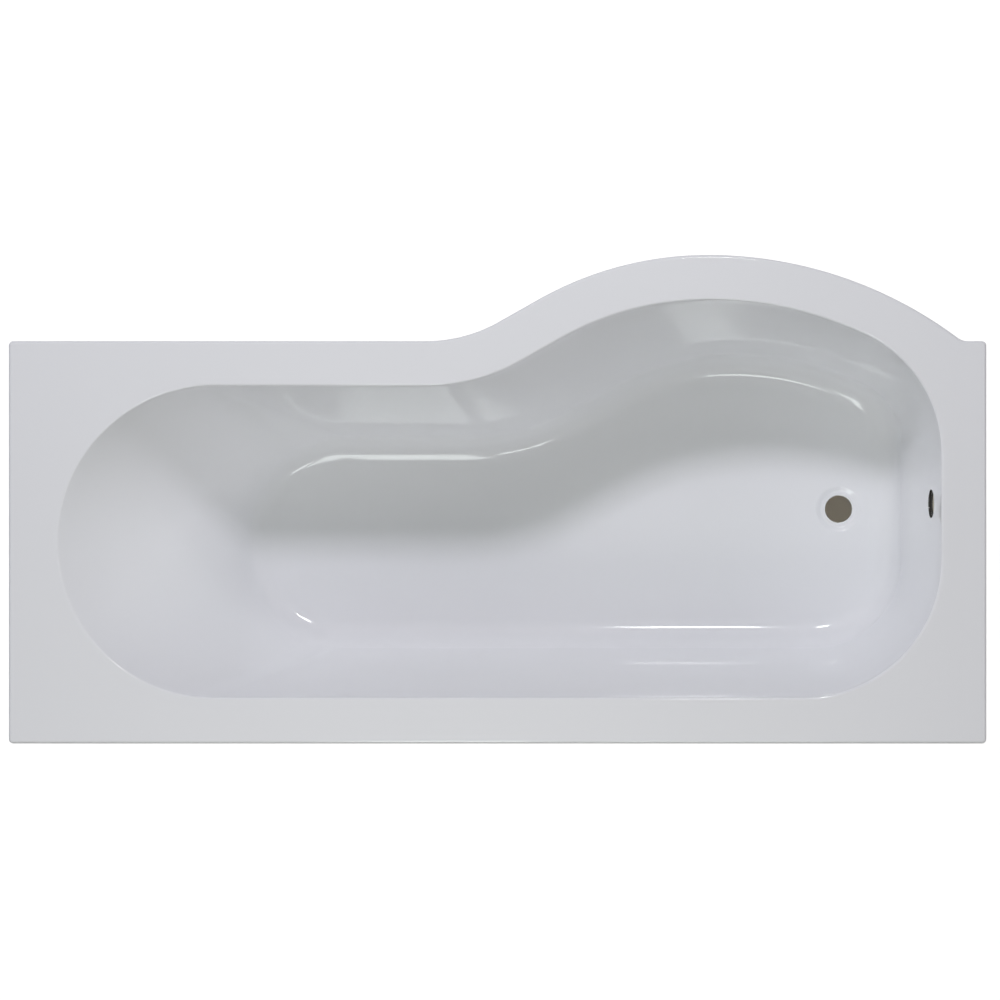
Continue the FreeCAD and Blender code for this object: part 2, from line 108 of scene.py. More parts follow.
class Reach(Enum):
    """What a lamp does: it lights matt surfaces, or it is mirrored by gloss."""

    LIGHTS = (True, False)
    MIRRORED = (False, True)


class Signal:
    """A node's output that takes part in Python arithmetic, which adds Math nodes."""

    def __init__(self, graph: Graph, socket: bpy.types.NodeSocket | None) -> None:
        """Keep the socket and the graph that it belongs to."""
        self.graph = graph
        self.socket = socket

    def combine(self, operation: str, left: Signal | float, right: Signal | float) -> Signal:
        """Add one Math node of an operation on two values."""
        return self.graph.node("ShaderNodeMath", {"operation": operation}, {0: left, 1: right})

    def __add__(self, other: Signal | float) -> Signal:
        """The sum."""
        return self.combine("ADD", self, other)

    def __radd__(self, other: Signal | float) -> Signal:
        """The sum, from the right."""
        return self.combine("ADD", other, self)

    def __sub__(self, other: Signal | float) -> Signal:
        """The difference."""
        return self.combine("SUBTRACT", self, other)

    def __rsub__(self, other: Signal | float) -> Signal:
        """The difference, from the right."""
        return self.combine("SUBTRACT", other, self)

    def __mul__(self, other: Signal | float) -> Signal:
        """The product."""
        return self.combine("MULTIPLY", self, other)

    def __rmul__(self, other: Signal | float) -> Signal:
        """The product, from the right."""
        return self.combine("MULTIPLY", other, self)

    def __gt__(self, other: Signal | float) -> Signal:
        """One where this is the greater, and otherwise zero."""
        return self.combine("GREATER_THAN", self, other)

    def __abs__(self) -> Signal:
        """The size without its sign."""
        return self.combine("ABSOLUTE", self, 0.0)

    def either(self, other: Signal | float) -> Signal:
        """The greater of two values."""
        return self.combine("MAXIMUM", self, other)

    def sine(self) -> Signal:
        """The sine of an angle in radians."""
        return self.combine("SINE", self, 0.0)


@dataclass(frozen=True)
class Cloud:
    """A cloudy noise: its scale for each metre, its detail, and how rough that detail is."""

    scale: float
    detail: float
    roughness: float = 0.5


@dataclass(frozen=True)
class Spread:
    """A value that varies over a surface: its least, and how much a pattern adds to that."""

    least: float
    more: float

    def over(self, pattern: Signal) -> Signal:
        """The value, for a pattern from zero to one."""
        return self.least + self.more * pattern


class Graph:
    """The nodes of one material or world."""

    def __init__(self, tree: bpy.types.NodeTree) -> None:
        """Start with an empty tree."""
        self.tree = tree
        tree.nodes.clear()

    def node(
        self,
        kind: str,
        settings: dict | None = None,
        inputs: dict | None = None,
        output: int | str = 0,
    ) -> Signal:
        """Add any node.

        Args:
            kind: The node's type.
            settings: Its own settings, set first; "stops" fills a colour ramp.
            inputs: The value or the link of each socket, by name or number.
            output: The output that is wanted.

        Returns:
            That output, which is empty for a node that has none.
        """
        made = self.tree.nodes.new(kind)
        for name, value in (settings or {}).items():
            if name == "stops":
                fill_ramp(made.color_ramp, value)
            else:
                setattr(made, name, value)
        for name, value in (inputs or {}).items():
            if isinstance(value, Signal):
                self.tree.links.new(value.socket, made.inputs[name])
            else:
                made.inputs[name].default_value = value
        return Signal(self, made.outputs[output] if made.outputs else None)

    def place(self) -> Signal:
        """Where a point of the surface is, in Object coordinates."""
        return self.node("ShaderNodeTexCoord", output="Object")

    def stretched(self, scale: Triple) -> Signal:
        """Object coordinates, stretched along each axis."""
        return self.node("ShaderNodeMapping", None, {"Vector": self.place(), "Scale": scale})

    def noise(self, place: Signal, kind: Cloud) -> Signal:
        """Cloudy noise from zero to one."""
        inputs = {"Vector": place, "Scale": kind.scale, "Detail": kind.detail}
        return self.node("ShaderNodeTexNoise", None, {**inputs, "Roughness": kind.roughness})

    def cells(self, place: Signal, scale: float, output: str) -> Signal:
        """Scattered cells: their distance or their own colour."""
        return self.node("ShaderNodeTexVoronoi", None, {"Vector": place, "Scale": scale}, output)

    def ramp(self, share: Signal, places: tuple[float, ...], colours: tuple[Colour, ...]) -> Signal:
        """A colour ramp over a value, with a colour at each place."""
        stops = tuple(zip(places, colours))
        return self.node("ShaderNodeValToRGB", {"stops": stops}, {"Fac": share})

    def blend(self, share: Signal | float, low: Signal | Colour, high: Signal | Colour) -> Signal:
        """A mix of two colours."""
        return self.node("ShaderNodeMix", {"data_type": "RGBA"}, {0: share, 6: low, 7: high}, 2)

    def axis(self, vector: Signal, name: str) -> Signal:
        """One axis of a vector."""
        return self.node("ShaderNodeSeparateXYZ", None, {"Vector": vector}, name)

    def relief(self, height: Signal, depth: float) -> Signal:
        """A bumped normal, from a height that is one at the given depth in metres."""
        return self.node("ShaderNodeBump", None, {"Height": height, "Distance": depth, "Strength": 1.0})


def fill_ramp(ramp: bpy.types.ColorRamp, stops: tuple[tuple[float, Colour], ...]) -> None:
    """Set a colour ramp's stops.

    Args:
        ramp: The ramp.
        stops: The place and the colour of each stop.
    """
    while len(ramp.elements) < len(stops):
        ramp.elements.new(1.0)
    for element, (place, colour) in zip(ramp.elements, stops):
        element.position = place
        element.color = colour


def grey(level: float) -> Colour:
    """A neutral colour."""
    return (level, level, level, 1.0)


BLACK_TO_WHITE = (grey(0.0), grey(1.0))


def named_mount(name: str) -> dict:
    """The record's mount of that name."""
    return next(mount for mount in frame["record"]["mounts"] if mount["name"] == name)


def mount_radius(mount: dict) -> float:
    """The radius of a round mount, in metres."""
    return mount["dims"]["r_mm"] / MILLIMETRES


@dataclass(frozen=True)
class Finish:
    """A surface finish, which makes its own material."""

    name: str

    def shade(self, graph: Graph) -> dict:
        """The inputs of the Principled shader."""
        raise NotImplementedError

    def material(self) -> bpy.types.Material:
        """Make the material.

        Returns:
            A material whose Principled shader has this finish's inputs.
        """
        made = bpy.data.materials.new(self.name)
        made.use_nodes = True
        graph = Graph(made.node_tree)
        shader = graph.node("ShaderNodeBsdfPrincipled", None, self.shade(graph))
        graph.node("ShaderNodeOutputMaterial", None, {"Surface": shader})
        return made


@dataclass(frozen=True)
class PaintedHoleShade:
    """A hole through the wall, with a near-black shade painted over its bore, where the bore lies in
    shadow.

    The painted shade reaches to the hole's radius times the margin, so that all of the hole's wall has
    it.
    """

    centre: Triple
    axis: Triple
    radius: float
    margin: float = 1.01
    # The colour of the painted shade inside the hole.
    edge: Colour = (0.035, 0.034, 0.032, 1.0)

    def dull(self, graph: Graph, colour: Signal) -> Signal:
        """A colour with a near-black shade painted inside the hole.

        Args:
            graph: The material's nodes.
            colour: The colour outside the hole.

        Returns:
            The colour, with painted shade where a point is no further from the hole's axis than its
            radius times the margin. That distance, squared, is the squared distance across plus the
            squared distance up the leaning wall.
        """
        place = graph.place()
        across = graph.axis(place, "Y") - self.centre[1]
        up = (graph.axis(place, "Z") - self.centre[2]) * self.axis[0]
        climb = up - (graph.axis(place, "X") - self.centre[0]) * self.axis[2]
        apart = across * across + climb * climb
        return graph.blend(apart > (self.radius * self.margin) ** 2, self.edge, colour)


@dataclass(frozen=True)
class GlossAcrylic(Finish):
    """White vacuum-formed acrylic: a deep gloss over a surface that waves very slightly."""

    hole_shade: PaintedHoleShade
    pale: Colour = (0.858, 0.868, 0.888, 1.0)
    deep: Colour = (0.838, 0.848, 0.868, 1.0)
    cloud: Cloud = Cloud(2.6, 3.0)
    smear: Cloud = Cloud(17.0, 4.0, 0.65)
    gloss: Spread = Spread(0.055, 0.05)
    waves: Cloud = Cloud(9.0, 1.0, 0.3)
    wave_depth: float = 0.00022
    refraction: float = 1.49

    def shade(self, graph: Graph) -> dict:
        """Clouded white, with haze in the gloss, long waves in the surface and painted shade in the
        overflow hole.

        Args:
            graph: The material's nodes.

        Returns:
            The Principled shader's inputs.
        """
        place = graph.place()
        cloud = graph.noise(place, self.cloud)
        return {
            # The colour has a near-black shade painted inside the overflow hole.
            "Base Color": self.hole_shade.dull(graph, graph.blend(cloud, self.deep, self.pale)),
            "Roughness": self.gloss.over(graph.noise(place, self.smear) * cloud),
            "IOR": self.refraction,
            "Normal": graph.relief(graph.noise(place, self.waves), self.wave_depth),
        }


@dataclass(frozen=True)
class SprayedFibre(Finish):
    """Chopped glass strands sprayed on in resin: pale straws that cross each other in all directions.

    Each layer of straws is turned by its own angle, of which each axis takes its share.
    """

    hole_shade: PaintedHoleShade
    resin: Colour = (0.47, 0.46, 0.34, 1.0)
    cured: Colour = (0.58, 0.56, 0.44, 1.0)
    strand: Colour = (0.82, 0.81, 0.73, 1.0)
    straw: Cloud = Cloud(12.0, 1.0, 0.4)
    straw_width: float = 0.045
    straw_edge: tuple[float, float] = (0.60, 0.72)
    turns: tuple[float, ...] = (0.4, 1.3, 2.1, 2.9)
    turn_shares: Triple = (1.0, 0.7, 1.3)
    lumps: Cloud = Cloud(38.0, 3.0)
    blotches: Cloud = Cloud(6.0, 3.0)
    rough: Spread = Spread(0.36, 0.34)
    lump_depth: float = 0.0014

    def strands(self, graph: Graph, turn: float) -> Signal:
        """One layer of straws: noise that is drawn out along a turned axis.

        Args:
            graph: The material's nodes.
            turn: The layer's angle.

        Returns:
            The noise, high on the straws.
        """
        angles = tuple(turn * share for share in self.turn_shares)
        drawn = (1.0, self.straw_width, self.straw_width)
        inputs = {"Vector": graph.place(), "Rotation": angles, "Scale": drawn}
        place = graph.node("ShaderNodeMapping", {"vector_type": "TEXTURE"}, inputs)
        return graph.noise(place, self.straw)

    def shade(self, graph: Graph) -> dict:
        """Layers of straws over blotchy resin, rough and lumpy.

        Args:
            graph: The material's nodes.

        Returns:
            The Principled shader's inputs.
        """
        straw = reduce(Signal.either, [self.strands(graph, turn) for turn in self.turns])
        lumps = graph.noise(graph.place(), self.lumps)
        fibre = graph.ramp(straw, self.straw_edge, BLACK_TO_WHITE)
        body = graph.blend(graph.noise(graph.place(), self.blotches), self.resin, self.cured)
        return {
            # The colour has a near-black shade painted inside the overflow hole.
            "Base Color": self.hole_shade.dull(graph, graph.blend(fibre, body, self.strand)),
            "Roughness": self.rough.over(lumps),
            "Normal": graph.relief(straw + lumps, self.lump_depth),
        }


@dataclass(frozen=True)
class RawChipboard(Finish):
    """Pressed wood flakes in several browns, with open pores between them."""

    browns: tuple[Colour, ...] = (
        (0.27, 0.17, 0.09, 1.0),
        (0.46, 0.32, 0.18, 1.0),
        (0.62, 0.47, 0.29, 1.0),
    )
    brown_places: Triple = (0.10, 0.45, 0.85)
    lay: Triple = (1.0, 1.6, 3.0)
    flake_scale: float = 170.0
    dust_scale: float = 460.0
    flake_share: float = 0.62
    rough: Spread = Spread(0.72, 0.2)
    pore_depth: float = 0.0007

    def shade(self, graph: Graph) -> dict:
        """Flakes of two sizes, each with its own brown.

        Args:
            graph: The material's nodes.

        Returns:
            The Principled shader's inputs.
        """
        wide = graph.stretched(self.lay)
        flake = graph.axis(graph.cells(wide, self.flake_scale, "Color"), "X")
        dust = graph.axis(graph.cells(graph.place(), self.dust_scale, "Color"), "Y")
        tone = self.flake_share * flake + (1 - self.flake_share) * dust
        pores = graph.cells(wide, self.flake_scale, "Distance")
        return {
            "Base Color": graph.ramp(tone, self.brown_places, self.browns),
            "Roughness": self.rough.over(dust),
            "Normal": graph.relief(tone - pores, self.pore_depth),
        }


@dataclass(frozen=True)
class SawnTimber(Finish):
    """Sawn softwood: growth lines drawn out along the piece, and fine fibres between them."""

    grain: Grain
    woods: tuple[Colour, Colour] = ((0.47, 0.29, 0.14, 1.0), (0.72, 0.54, 0.33, 1.0))
    wood_places: tuple[float, float] = (0.22, 0.62)
    growth: Cloud = Cloud(46.0, 3.0, 0.45)
    fibre: Cloud = Cloud(420.0, 3.0, 0.6)
    ring_scale: float = 22.0
    ring_distortion: float = 5.0
    ring_detail: float = 2.0
    ring_detail_scale: float = 1.6
    shares: Triple = (0.6, 0.25, 0.15)
    rough: Spread = Spread(0.62, 0.22)
    fibre_depth: float = 0.0005

    def shade(self, graph: Graph) -> dict:
        """Rings, growth lines and fine fibres, each by its share.

        Args:
            graph: The material's nodes.

        Returns:
            The Principled shader's inputs.
        """
        place = graph.stretched(self.grain.value)
        growth = graph.noise(place, self.growth)
        fibre = graph.noise(place, self.fibre)
        rings = graph.node(
            "ShaderNodeTexWave",
            {"wave_type": "RINGS", "rings_direction": "SPHERICAL"},
            {
                "Vector": place,
                "Scale": self.ring_scale,
                "Distortion": self.ring_distortion,
                "Detail": self.ring_detail,
                "Detail Scale": self.ring_detail_scale,
            },
            "Fac",
        )
        tone = self.shares[0] * rings + self.shares[1] * growth + self.shares[2] * fibre
        return {
            "Base Color": graph.ramp(tone, self.wood_places, self.woods),
            "Roughness": self.rough.over(fibre),
            "Normal": graph.relief(fibre + growth, self.fibre_depth),
        }


@dataclass(frozen=True)
class CutPly(Finish):
    """Plywood cut to a curve: thin plies that turn from pale to brown up its edge."""

    ply: float = 0.0024
    pale: Colour = (0.68, 0.51, 0.31, 1.0)
    brown: Colour = (0.38, 0.24, 0.13, 1.0)
    ply_edge: tuple[float, float] = (0.42, 0.60)
    lay: Triple = (0.3, 1.0, 1.0)
    fibre: Cloud = Cloud(240.0, 3.0, 0.6)
    wander: float = 0.0005
    stain: float = 0.25
    rough: Spread = Spread(0.6, 0.25)
    fibre_depth: float = 0.0004

    def shade(self, graph: Graph) -> dict:
        """Level plies as the sine of the height, blurred by the fibres in each.

        Args:
            graph: The material's nodes.

        Returns:
            The Principled shader's inputs.
        """
        fibre = graph.noise(graph.stretched(self.lay), self.fibre)
        height = graph.axis(graph.place(), "Z") + self.wander * fibre
        layer = (height * (math.pi / self.ply)).sine()
        edge = graph.ramp(0.5 + 0.5 * layer, self.ply_edge, (self.brown, self.pale))
        return {
            "Base Color": graph.blend(self.stain * fibre, edge, self.brown),
            "Roughness": self.rough.over(fibre),
            "Normal": graph.relief(fibre, self.fibre_depth),
        }


@dataclass(frozen=True)
class ZincPlate(Finish):
    """Bright zinc plate: cool grey, with a faint spangle and rubbed patches."""

    bright: Colour = (0.66, 0.68, 0.70, 1.0)
    dull: Colour = (0.46, 0.48, 0.50, 1.0)
    spangle: float = 90.0
    rubbed: Triple = (1.0, 0.2, 1.0)
    scuffs: Cloud = Cloud(120.0, 4.0, 0.7)
    rough: Spread = Spread(0.26, 0.22)
    scuff_depth: float = 0.00006

    def shade(self, graph: Graph) -> dict:
        """Crystals of slightly different greys, with scuffs in the gloss.

        Args:
            graph: The material's nodes.

        Returns:
            The Principled shader's inputs.
        """
        crystal = graph.axis(graph.cells(graph.place(), self.spangle, "Color"), "X")
        scuff = graph.noise(graph.stretched(self.rubbed), self.scuffs)
        return {
            "Base Color": graph.blend(0.5 * (crystal + scuff), self.dull, self.bright),
            "Metallic": 1.0,
            "Roughness": self.rough.over(scuff),
            "Normal": graph.relief(scuff, self.scuff_depth),
        }


@dataclass(frozen=True)
class YellowPassivate(Finish):
    """Yellow passivated steel, as on wood screws, with the faint rainbow of its film."""

    gold: Colour = (0.72, 0.58, 0.28, 1.0)
    rose: Colour = (0.62, 0.46, 0.36, 1.0)
    film: Cloud = Cloud(150.0, 2.0)
    rough: Spread = Spread(0.24, 0.16)

    def shade(self, graph: Graph) -> dict:
        """A film that drifts from gold to rose.

        Args:
            graph: The material's nodes.

        Returns:
            The Principled shader's inputs.
        """
        film = graph.noise(graph.place(), self.film)
        return {
            "Base Color": graph.blend(film, self.gold, self.rose),
            "Metallic": 1.0,
            "Roughness": self.rough.over(film),
        }


@dataclass(frozen=True)
class MouldedPlastic(Finish):
    """Black moulded plastic with a fine spark-eroded grain and pale scuffs."""

    black: Colour = (0.016, 0.016, 0.018, 1.0)
    scuffed: Colour = (0.055, 0.055, 0.058, 1.0)
    scuffs: Cloud = Cloud(60.0, 5.0, 0.7)
    scuff_edge: tuple[float, float] = (0.5, 0.75)
    grain: Cloud = Cloud(1500.0, 2.0)
    grain_depth: float = 0.00012
    rough: Spread = Spread(0.40, 0.22)

    def shade(self, graph: Graph) -> dict:
        """Fine grain in the surface, with scuffs in its colour and gloss.

        Args:
            graph: The material's nodes.

        Returns:
            The Principled shader's inputs.
        """
        place = graph.place()
        scuff = graph.noise(place, self.scuffs)
        worn = graph.ramp(scuff, self.scuff_edge, BLACK_TO_WHITE)
        return {
            "Base Color": graph.blend(worn, self.black, self.scuffed),
            "Roughness": self.rough.over(scuff),
            "Normal": graph.relief(graph.noise(place, self.grain), self.grain_depth),
        }


def grid_faces(indices: Array) -> Array:
    """Quads between neighbouring rows of a grid whose columns close on themselves.

    Args:
        indices: The vertex number of each row and column.

    Returns:
        One quad for each cell: this column, the next, then the same two in the next row.
    """
    after = np.roll(indices, -1, axis=1)
    return np.stack((indices[:-1], after[:-1], after[1:], indices[1:]), axis=-1).reshape(-1, 4)


def cap_faces(ring: Array) -> Array:
    """Quads that close a ring of an even number of vertices.

    Args:
        ring: The vertex numbers, anticlockwise as seen from outside.

    Returns:
        A row of quads between one half of the ring and the other half, which is read backwards.
    """
    half = len(ring) // 2
    near, far = ring[:half], ring[::-1][:half]
    return np.stack((near[:-1], near[1:], far[1:], far[:-1]), axis=-1)


def between(start: Array, end: Array, shares: tuple[float, ...]) -> Array:
    """Rows that lie between two rows, at shares of the way from the first to the second."""
    return start + (end - start) * np.array(shares)[:, None, None]


def make_piece(
    name: str,
    points: Array,
    faces: Array,
    body: str,
    sharp: float,
) -> bpy.types.Object:
    """Put a surface into the scene as a piece that rides on a body.

    Args:
        name: The piece's name.
        points: Its vertices.
        faces: Its quads.
        body: The body that it rides on.
        sharp: The angle in degrees past which an edge is a sharp one.

    Returns:
        The piece.
    """
    mesh = bpy.data.meshes.new(name)
    mesh.vertices.add(len(points))
    mesh.vertices.foreach_set("co", points.astype(np.float32).ravel())
    mesh.loops.add(faces.size)
    mesh.loops.foreach_set("vertex_index", faces.astype(np.int32).ravel())
    mesh.polygons.add(len(faces))
    mesh.polygons.foreach_set("loop_start", np.arange(0, faces.size, 4, dtype=np.int32))
    mesh.update(calc_edges=True)
    mesh.validate()
    mesh.shade_smooth()
    mesh.set_sharp_from_angle(angle=math.radians(sharp))
    piece = bpy.data.objects.new(name, mesh)
    bpy.context.scene.collection.objects.link(piece)
    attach(piece, body)
    log.info("%s: %d faces on %s", name, len(faces), body)
    return piece


@dataclass(frozen=True)
class Bend:
    """One arc of a plan outline, whose centre and radius change in proportion to depth.

    Its outward normal turns from start to end, in degrees, and a hollow arc has a radius below zero.
    It has so many columns itself, and the straight after it, up to the next bend, has the run's.
    """

    name: str
    start: float
    end: float
    centre: tuple[float, float]
    radius: float
    steps: int
    run: int = 0
    drift: tuple[float, float] = (0.0, 0.0)
    growth: float = 0.0


class Loop:
    """A closed plan outline as columns: points of its bends and of the straights between them."""

    def __init__(self, bends: list[Bend]) -> None:
        """Lay out the columns of each bend and of the straight that follows it.

        Args:
            bends: The bends in order round the outline.
        """
        first, second, share, angle = [], [], [], []
        self.runs: dict[str, slice] = {}
        for number, bend in enumerate(bends):
            first.append(np.full(bend.steps + bend.run, number))
            second.append(np.full(bend.steps + bend.run, number))
            second[-1][bend.steps:] = (number + 1) % len(bends)
            share.append(np.concatenate((np.zeros(bend.steps), np.arange(bend.run) / max(bend.run, 1))))
            turning = np.linspace(bend.start, bend.end, bend.steps, endpoint=False)
            angle.append(np.concatenate((turning, np.full(bend.run, bend.end))))
            stop = sum(map(len, share))
            self.runs[bend.name] = slice(stop - bend.run, stop)
        self.ends = (np.concatenate(first), np.concatenate(second))
        self.share = np.concatenate(share)[:, None]
        turned = np.radians(np.concatenate(angle))
        self.normal = np.stack((np.cos(turned), np.sin(turned)), axis=-1)
        self.along = np.stack((-np.sin(turned), np.cos(turned)), axis=-1)
        self.centre = np.array([bend.centre for bend in bends])
        self.drift = np.array([bend.drift for bend in bends])
        self.radius = np.array([bend.radius for bend in bends])[:, None]
        self.growth = np.array([bend.growth for bend in bends])[:, None]
        self.slant = np.arctan(self.leaning(self.ends[0])[:, 0])

    def leaning(self, number: Array) -> Array:
        """How far each column's wall leans in, for each metre down."""
        return -(self.normal * self.drift[number]).sum(-1, keepdims=True) - self.growth[number]

    def bend_points(self, number: Array, depth: Array, offset: Array | float) -> Array:
        """Points on the bend of each column, at a depth and grown by an offset.

        A point is the centre plus the radius along the normal. Growing the sloping wall by an offset
        adds that offset times the secant of its lean along the normal, and times the rate at which the
        secant turns along the tangent, so the grown wall is parallel to the first.

        Args:
            number: The bend of each column.
            depth: The depth of each row, or of each row and column.
            offset: The offset of each.

        Returns:
            The plan points by row and column.
        """
        lean = self.leaning(number)
        secant = np.sqrt(1 + lean ** 2)
        turn = -(self.along * self.drift[number]).sum(-1, keepdims=True) * lean / secant
        middle = self.centre[number] + self.drift[number] * depth
        radius = self.radius[number] + self.growth[number] * depth
        return middle + radius * self.normal + offset * (secant * self.normal + turn * self.along)

    def plan(self, depth: Array | float, offset: Array | float) -> Array:
        """Plan points of every column, where those of a straight lie evenly between its two bends.

        Args:
            depth: One depth for all, or one for each row and column.
            offset: How far the wall is moved outwards, square to itself, for all or for each row.

        Returns:
            The points by row and column.
        """
        deep = np.atleast_2d(np.asarray(depth, dtype=float))[..., None]
        near, far = (self.bend_points(number, deep, offset) for number in self.ends)
        return near * (1 - self.share) + far * self.share


@dataclass(frozen=True)
class RimSizes:
    """The flat rim round the well, and its turned-down lip."""

    head: float = 0.085
    tap: float = 0.078
    wall: float = 0.080
    front: float = 0.078
    lip: float = 0.038
    corner: float = 0.008
    outer_round: float = 0.005
    inner_round: float = 0.005
    lip_edge: float = 0.001
    narrow_width: float = 0.700


@dataclass(frozen=True)
class BulgeSizes:
    """The tangent arcs that carry the rim round the bulge."""

    peak_from_tap: float = 0.484
    hollow: float = 0.260
    straight: float = 0.078
    lead: float = 0.600
    stub_fillet: float = 0.030
    stub: float = 0.032
    follow_share: float = 0.6806


@dataclass(frozen=True)
class WellSizes:
    """The well's depth, its corners, and its slopes in degrees from the vertical."""

    depth: float = 0.395
    front_slope: float = 13.0
    wall_slope: float = 11.7
    tap_slope: float = 5.8
    head_slope: float = 39.0
    tap_front: float = 0.229
    tap_wall: float = 0.241
    floor_corner: float = 0.150
    peak_shift: float = 0.068
    floor_round: float = 0.054
    fall: float = 0.006
    dish: float = 0.043
    dish_side: float = 0.012
    dish_depth: float = 0.003
    hole_edge: float = 0.0008
    hole_ease: float = 0.3


@dataclass(frozen=True)
class Columns:
    """How many columns each part of the outlines has. The well and the rim have as many side by side."""

    hollow: int = 40
    slope: int = 8
    lead: int = 56
    trail: int = 40
    corner: int = 60
    tap: int = 36
    wall: int = 60
    front: int = 36
    stub: int = 10
    stub_flat: int = 6
    rim_corner: int = 12
    tap_foot: int = 20
    head: int = 24


@dataclass(frozen=True)
class Rows:
    """How many rows each part of the moulding has, or the shares of the way at which they lie."""

    dish: int = 11
    floor: tuple[float, ...] = (0.01, 0.04, 0.1, 0.2, 0.32, 0.45, 0.58, 0.7, 0.8, 0.89, 0.96, 0.99)
    floor_turn: int = 17
    wall: int = 25
    mouth_turn: int = 12
    flat: tuple[float, ...] = (0.01, 0.06, 0.3, 0.7, 0.94, 0.99)
    edge_turn: int = 7
    lip: tuple[float, ...] = (0.06, 0.5, 1.0)
    under: tuple[float, ...] = (0.02, 0.35, 0.7, 0.98)
    to_hole: tuple[float, ...] = (0.35, 0.7, 0.93)
    from_hole: tuple[float, ...] = (0.1, 0.5)


@dataclass
class Moulding:
    """The acrylic moulding: a flat rim with a lip, and a well that leans in to a rounded floor.

    The overflow hole is let into a block of the tap end's wall, which is so many hole radii wide.
    """

    rim: RimSizes = RimSizes()
    bulge: BulgeSizes = BulgeSizes()
    well: WellSizes = WellSizes()
    columns: Columns = Columns()
    rows: Rows = Rows()
    thickness: float = 0.005
    hole_room: float = 1.5
    sharp: float = 40.0

    def __post_init__(self) -> None:
        """Work out the places that the outlines share, and then the outlines."""
        rim = self.rim
        low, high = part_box("acrylic_shell")
        self.top = high.z
        self.head_end, self.tap_end = low.x, high.x
        self.wall_side = low.y
        self.front_side = low.y + rim.narrow_width
        self.rise = high.y - self.front_side
        self.head_edge = self.head_end + rim.head
        self.tap_edge = self.tap_end - rim.tap
        self.wall_edge = self.wall_side + rim.wall
        self.front_edge = self.front_side - rim.front
        self.head_radius = (self.front_edge - self.wall_edge) / 2
        self.middle = (self.front_edge + self.wall_edge) / 2
        self.measure_bulge()
        self.measure_well()
        self.measure_holes()
        self.inner = Loop(self.well_bends())
        self.outer = Loop(self.rim_bends())

    def measure_bulge(self) -> None:
        """Work out where the bulge's arcs meet.

        The hollow and the lead are joined by a straight, whose turn follows from the rise. The trail
        is the arc that drops by the rise over the run from the peak to the stub.
        """
        bulge, rise = self.bulge, self.rise
        self.peak = self.tap_end - bulge.peak_from_tap
        both = bulge.hollow + bulge.lead
        drop = 2 * both - rise
        reach = math.sqrt(bulge.straight ** 2 + rise * drop)
        sweep = 2 * math.atan((reach - bulge.straight) / drop)
        self.sweep = math.degrees(sweep)
        self.start = self.peak - both * math.sin(sweep) - bulge.straight * math.cos(sweep)
        trail_run = self.tap_end - bulge.stub - self.peak
        self.trail = (trail_run ** 2 + rise ** 2) / (2 * rise) - bulge.stub_fillet
        self.trail_turn = math.degrees(2 * math.atan(rise / trail_run))
        self.follow = self.trail_turn * bulge.follow_share
        self.hollow_centre = (self.start, self.front_side + bulge.hollow)
        self.lead_centre = (self.peak, self.front_side + rise - bulge.lead)

    def measure_well(self) -> None:
        """Work out the lean of each wall, and how the floor falls."""
        well = self.well
        slopes = (well.front_slope, well.wall_slope, well.tap_slope, well.head_slope)
        leans = [math.tan(math.radians(slope)) for slope in slopes]
        self.front_lean, self.wall_lean, self.tap_lean, self.head_lean = leans
        self.floor_tap = self.tap_edge - well.depth * self.tap_lean
        floor_head = self.head_edge + well.depth * self.head_lean
        self.fall_slope = well.fall / (self.floor_tap - floor_head)

    def measure_holes(self) -> None:
        """Read both holes from the record's mounts."""
        waste, overflow = named_mount("waste_hole"), named_mount("overflow_hole")
        self.waste = np.array(waste["pos_m"][:2])
        self.waste_radius = mount_radius(waste)
        self.overflow = np.array(overflow["pos_m"])
        self.overflow_axis = np.array(overflow["axis"])
        self.overflow_radius = mount_radius(overflow)

    def well_bends(self) -> list[Bend]:
        """The bends of the well's mouth, clockwise from the hollow of the bulge.

        Returns:
            Bends whose centres and radii change evenly down to the floor.
        """
        well, count, front = self.well, self.columns, self.front_lean
        shift = well.peak_shift / well.depth
        sine = math.sin(math.radians(self.follow))
        cosine = math.cos(math.radians(self.follow))
        trail = (self.tap_edge - self.peak - well.tap_front * (1 - sine)) / sine
        trail_y = self.front_edge + self.rise - trail
        corner_growth = (front * sine - self.tap_lean - shift) / (1 - sine)
        corner = (self.tap_edge - well.tap_front, trail_y + (trail - well.tap_front) * cosine)
        corner_drift = (-self.tap_lean - corner_growth, -(front + corner_growth) * cosine)
        wall_growth = (well.floor_corner - well.tap_wall) / well.depth
        wall_corner = (self.tap_edge - well.tap_wall, self.wall_edge + well.tap_wall)
        wall_drift = (-self.tap_lean - wall_growth, self.wall_lean + wall_growth)
        head_growth = -(front + self.wall_lean) / 2
        head = (self.head_edge + self.head_radius, self.middle)
        head_drift = (self.head_lean + head_growth, (self.wall_lean - front) / 2)
        hollow = (self.hollow_centre, -self.bulge.hollow - self.rim.front)
        lead = (self.lead_centre, self.bulge.lead - self.rim.front)
        upper = 90 + self.sweep
        lower = 90 - self.follow
        shifts = ((shift, 0.0), -front)
        turns = (corner_drift, corner_growth)
        walls = (wall_drift, wall_growth)
        heads = (head_drift, head_growth)
        round_head = (head, self.head_radius, count.corner)
        return [
            Bend("hollow", 90, upper, *hollow, count.hollow, count.slope, *shifts),
            Bend("lead", upper, 90, *lead, count.lead, 0, *shifts),
            Bend("trail", 90, lower, (self.peak, trail_y), trail, count.trail, 0, *shifts),
            Bend("tap_front", lower, 0, corner, well.tap_front, count.corner, count.tap, *turns),
            Bend("tap_wall", 0, -90, wall_corner, well.tap_wall, count.corner, count.wall, *walls),
            Bend("head_wall", -90, -180, *round_head, 0, *heads),
            Bend("head_front", -180, -270, *round_head, count.front, *heads),
        ]

